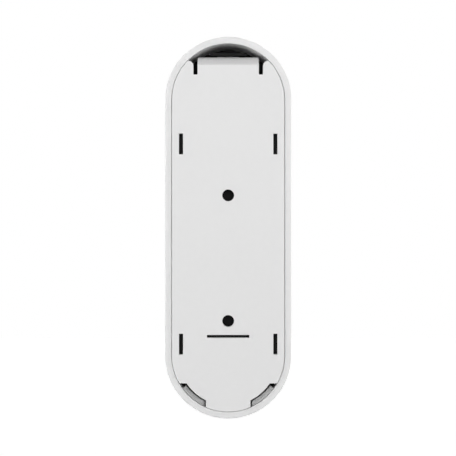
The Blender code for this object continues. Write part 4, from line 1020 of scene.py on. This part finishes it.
def flap_outline(inset):
    """The flap's cross-section, drawn in by an inset for its round edges."""
    outer = -END_Z - FLAP_LOW.z
    half = math.degrees(math.asin(FLAP_HIGH.x / END_R)) - math.degrees(inset / outer)
    inner = outer - FLAP_THICK + inset * 0.3
    return band(outer - inset * 0.6, inner, (0.0, -END_Z), -90.0 - half, -90.0 + half)


def make_socket():
    """The charging socket's rolled steel shell and its tongue."""
    centre = (0.0, (SOCKET_LOW.y + SOCKET_HIGH.y) / 2)
    half_x = SOCKET_HIGH.x
    half_y = (SOCKET_HIGH.y - SOCKET_LOW.y) / 2
    wall = SOCKET_WALL
    end = half_y - 0.05 * MM
    outer = rounded_box(centre, half_x, half_y, end)
    inner = rounded_box(centre, half_x - wall, half_y - wall, end - wall)
    floor = SOCKET_HIGH.z - 1.0 * MM
    loops = [(outer, SOCKET_HIGH.z), (outer, SOCKET_LOW.z), (inner, SOCKET_LOW.z), (inner, floor)]
    socket = loft("socket_shell", loops, "Z")
    tongue = rounded_box(centre, *SOCKET_TONGUE)
    blade = loft("socket_tongue", [(tongue, floor + PAST), (tongue, SOCKET_LOW.z + 1.0 * MM)], "Z")
    combine(socket, [blade], "UNION")
    finished(socket, "doorbell", "nickel", ["charging_socket"])


def make_screws():
    """Pan-head screws with a cross recess."""
    for i in range(SCREW_COUNT):
        name = f"cover_screw_{i + 1}"
        low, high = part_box(name)
        centre = ((low.x + high.x) / 2, (low.z + high.z) / 2)
        head = (high.x - low.x) / 2
        under = high.y - SCREW_HEAD_TALL
        profile = [(0.4 * MM, low.y), (THREAD_R * 0.85, low.y + 0.5 * MM)]
        length = under - low.y - 1.0 * MM
        for k in range(THREAD_TURNS):
            start = low.y + 0.6 * MM + length * k / THREAD_TURNS
            profile += [(THREAD_ROOT_R, start), (THREAD_R, start + length / THREAD_TURNS / 2)]
        profile += [(THREAD_ROOT_R, under), (head, under), (head, under + 0.35 * MM)]
        profile += [(head - 0.15 * MM, under + 0.7 * MM), (head - 0.7 * MM, high.y - 0.08 * MM)]
        profile.append((0.5 * MM, high.y))
        screw = turned(f"screw_{i + 1}", centre, profile, steps=40)
        cutters = []
        for wide, tall in (CROSS, CROSS[::-1]):
            top = rounded_box(centre, wide, tall, 0.1 * MM, 3)
            bottom = rounded_box(centre, wide * CROSS_TAPER, tall * CROSS_TAPER, 0.05 * MM, 3)
            ends = [(top, high.y + PAST), (bottom, high.y - CROSS_DEEP)]
            cutters.append(loft(f"cut_{i}_{wide}", ends))
        combine(screw, cutters, "DIFFERENCE")
        finished(screw, "doorbell", "screw_steel", [name])


def make_reset():
    """The reset cap with a soft dished top."""
    low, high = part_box("reset_button")
    centre = ((low.x + high.x) / 2, (low.z + high.z) / 2)
    radius = RESET_R
    flange = (high.x - low.x) / 2
    shoulder = high.y - RESET_FLANGE - COVER_THICK - GAP
    edge = 0.35 * MM
    under = shoulder - RESET_FLANGE
    profile = [(1.0 * MM, low.y), (1.0 * MM, under), (flange, under)]
    profile += [(flange, shoulder), (radius, shoulder)]
    profile += arc((radius - edge, high.y - edge), edge, 0.0, 90.0, 6)
    profile += [(radius * 0.5, high.y - 0.12 * MM), (0.1 * MM, high.y - 0.16 * MM)]
    finished(turned("reset_cap", centre, profile, steps=48), "reset", "seal_silicone", ["reset_button"])


def make_cover():
    """The black inner back: round-edged, with its top pocket, hook bar, fins and the latch's window."""
    radius = COVER_HIGH.x
    back = COVER_BACK_Y
    front = back - COVER_THICK
    rise = math.degrees(math.asin((POCKET_Z - END_Z) / radius))
    side = arc((0.0, END_Z), radius, rise, 0.0, 24)
    low = arc((0.0, -END_Z), radius, 0.0, -180.0, END_STEPS)
    outline = (side + low + arc((0.0, END_Z), radius, 180.0, 180.0 - rise, 24))[::-1]
    holes = []
    for i in range(SCREW_COUNT):
        centre = middle_of(f"cover_screw_{i + 1}")
        holes.append(circle((centre.x, centre.z), SCREW_CLEAR_R, 24))
    reset = middle_of("reset_button")
    holes.append(circle((reset.x, reset.z), RESET_CLEAR_R, 32))
    leaf_low, leaf_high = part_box("snap_latch")
    window_z = (leaf_low.z + leaf_high.z + GAP) / 2
    window = (leaf_high.x + 2 * GAP, (leaf_high.z - leaf_low.z + 3 * GAP) / 2)
    holes.append(rounded_box((0.0, window_z), *window, 0.6 * MM))
    cover = sheet_of("inner_back", [outline] + holes, back, front, COVER_EDGE)
    reach = radius * math.cos(math.radians(rise))
    floor_y = COVER_LOW.y
    wall_z = POCKET_Z - PARTITION / 2
    wall = rounded_box((0.0, wall_z), reach - GAP, PARTITION / 2, 0.3 * MM)
    extra = [loft("pocket_wall", [(wall, back - GAP), (wall, floor_y)])]
    low_rise = math.degrees(math.asin((POCKET_Z - PARTITION - END_Z) / radius))
    floor = arc((0.0, END_Z), radius, low_rise, 180.0 - low_rise, END_STEPS)
    extra.append(loft("pocket_floor", [(floor, floor_y + POCKET_FLOOR), (floor, floor_y)]))
    bar_z = HOOK_BAR_Z + HOOK_BAR_TALL / 2
    bar = rounded_box((0.0, bar_z), HOOK_BAR_HALF, HOOK_BAR_TALL / 2, SMALL_ROUND)
    extra.append(loft("hook_bar", [(bar, back), (bar, back - HOOK_BAR_DEEP)]))
    for turn in (-1, 1):
        half = 1.0 * MM
        middle = (turn * (HOOK_BAR_HALF - half), bar_z)
        web = rounded_box(middle, half, HOOK_BAR_TALL / 2, SMALL_ROUND)
        extra.append(loft(f"hook_web_{turn}", [(web, back - PAST), (web, floor_y + PAST)]))
        for z in FIN_SLOTS_Z:
            extra.append(make_fin(f"fin_{turn}_{z}", (turn * FIN_SLOT_X, z), back - PAST))
    combine(cover, extra, "UNION")
    finished(cover, "doorbell", "black_plastic", ["rear_cover"])


def make_fin(name, centre, root):
    """A fin that stands in one of the plate's side slots, with a bevelled tip."""
    tip = COVER_HIGH.y
    fin = []
    for inset, y in ((0.0, root), (0.0, tip - 0.3 * MM), (0.15 * MM, tip)):
        half_x, half_z = (half - inset for half in FIN)
        fin.append((rounded_box(centre, half_x, half_z, FIN_ROUND, 3), y))
    return loft(name, fin)


def middle_of(node):
    low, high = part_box(node)
    return (low + high) / 2


def make_latch():
    """The springy tongue: a thin leaf with finger ridges near its tip and a bevelled nib."""
    low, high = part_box("snap_latch")
    leaf_back = low.y + LATCH_THICK
    middle = (low.z + high.z) / 2
    outline = rounded_box((0.0, middle), high.x, (high.z - low.z) / 2, 0.8 * MM)
    leaf = sheet_of("latch_leaf", [outline], leaf_back, low.y, LATCH_EDGE)
    nib_z = LATCH_SLOT_Z - 0.075 * MM
    wedge = [(leaf_back - PAST, nib_z - 0.3 * MM), (leaf_back, nib_z - 0.22 * MM)]
    wedge += [(high.y, nib_z - 0.12 * MM), (high.y, nib_z + 0.2 * MM), (leaf_back - PAST, nib_z + 0.22 * MM)]
    extra = [loft("latch_nib", [(wedge, -high.x + PAST), (wedge, high.x - PAST)], "X")]
    for i in range(LATCH_RIDGES):
        ridge_z = nib_z - (2.2 + 1.1 * i) * MM
        ridge = arc((leaf_back - 0.05 * MM, ridge_z), 0.25 * MM, -90.0, 90.0, 8)
        extra.append(loft(f"latch_ridge_{i}", [(ridge, -4.0 * MM), (ridge, 4.0 * MM)], "X"))
    combine(leaf, extra, "UNION")
    finished(leaf, "latch", "black_plastic", ["snap_latch"])


def make_cells():
    """Two cells in film: crimped neck, round shoulders and a raised cap."""
    for name in ("battery_cell_left", "battery_cell_right"):
        low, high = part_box(name)
        centre = ((low.x + high.x) / 2, (low.y + high.y) / 2)
        radius = (high.x - low.x) / 2
        shoulder = high.z - 1.0 * MM
        neck = shoulder - CELL_NECK
        foot = CELL_FOOT_ROUND
        crimp = CELL_CRIMP
        profile = arc((radius - foot, low.z + foot), foot, -90.0, 0.0)
        profile += arc((radius, neck), crimp, -90.0, -270.0, 12)
        profile += arc((radius - crimp, shoulder - crimp), crimp, 0.0, 90.0)
        profile += [(6.4 * MM, shoulder), (6.2 * MM, shoulder - 0.25 * MM)]
        profile += [(3.6 * MM, shoulder - 0.25 * MM)]
        profile += [(3.3 * MM, shoulder - 0.05 * MM), (2.8 * MM, high.z - 0.3 * MM), (2.5 * MM, high.z)]
        cell = turned(f"{name}_film", centre, profile, "Z")
        finished(cell, "doorbell", "cell_sleeve", [name])


def dress_cad_nodes():
    """The CAD nodes that stay visible take the finish of their slot."""
    for part in frame["record"]["subparts"]:
        node = frame["nodes"][part["node"]]
        node.data.materials.clear()
        node.data.materials.append(LOOKS[part["material_slot"]])


make_camera_view()
make_sky()
make_floor()
make_plate()
make_shell()
make_fascia()
make_camera_front()
make_motion_lens()
make_button()
make_flap()
make_socket()
make_screws()
make_reset()
make_cover()
make_latch()
make_cells()
dress_cad_nodes()
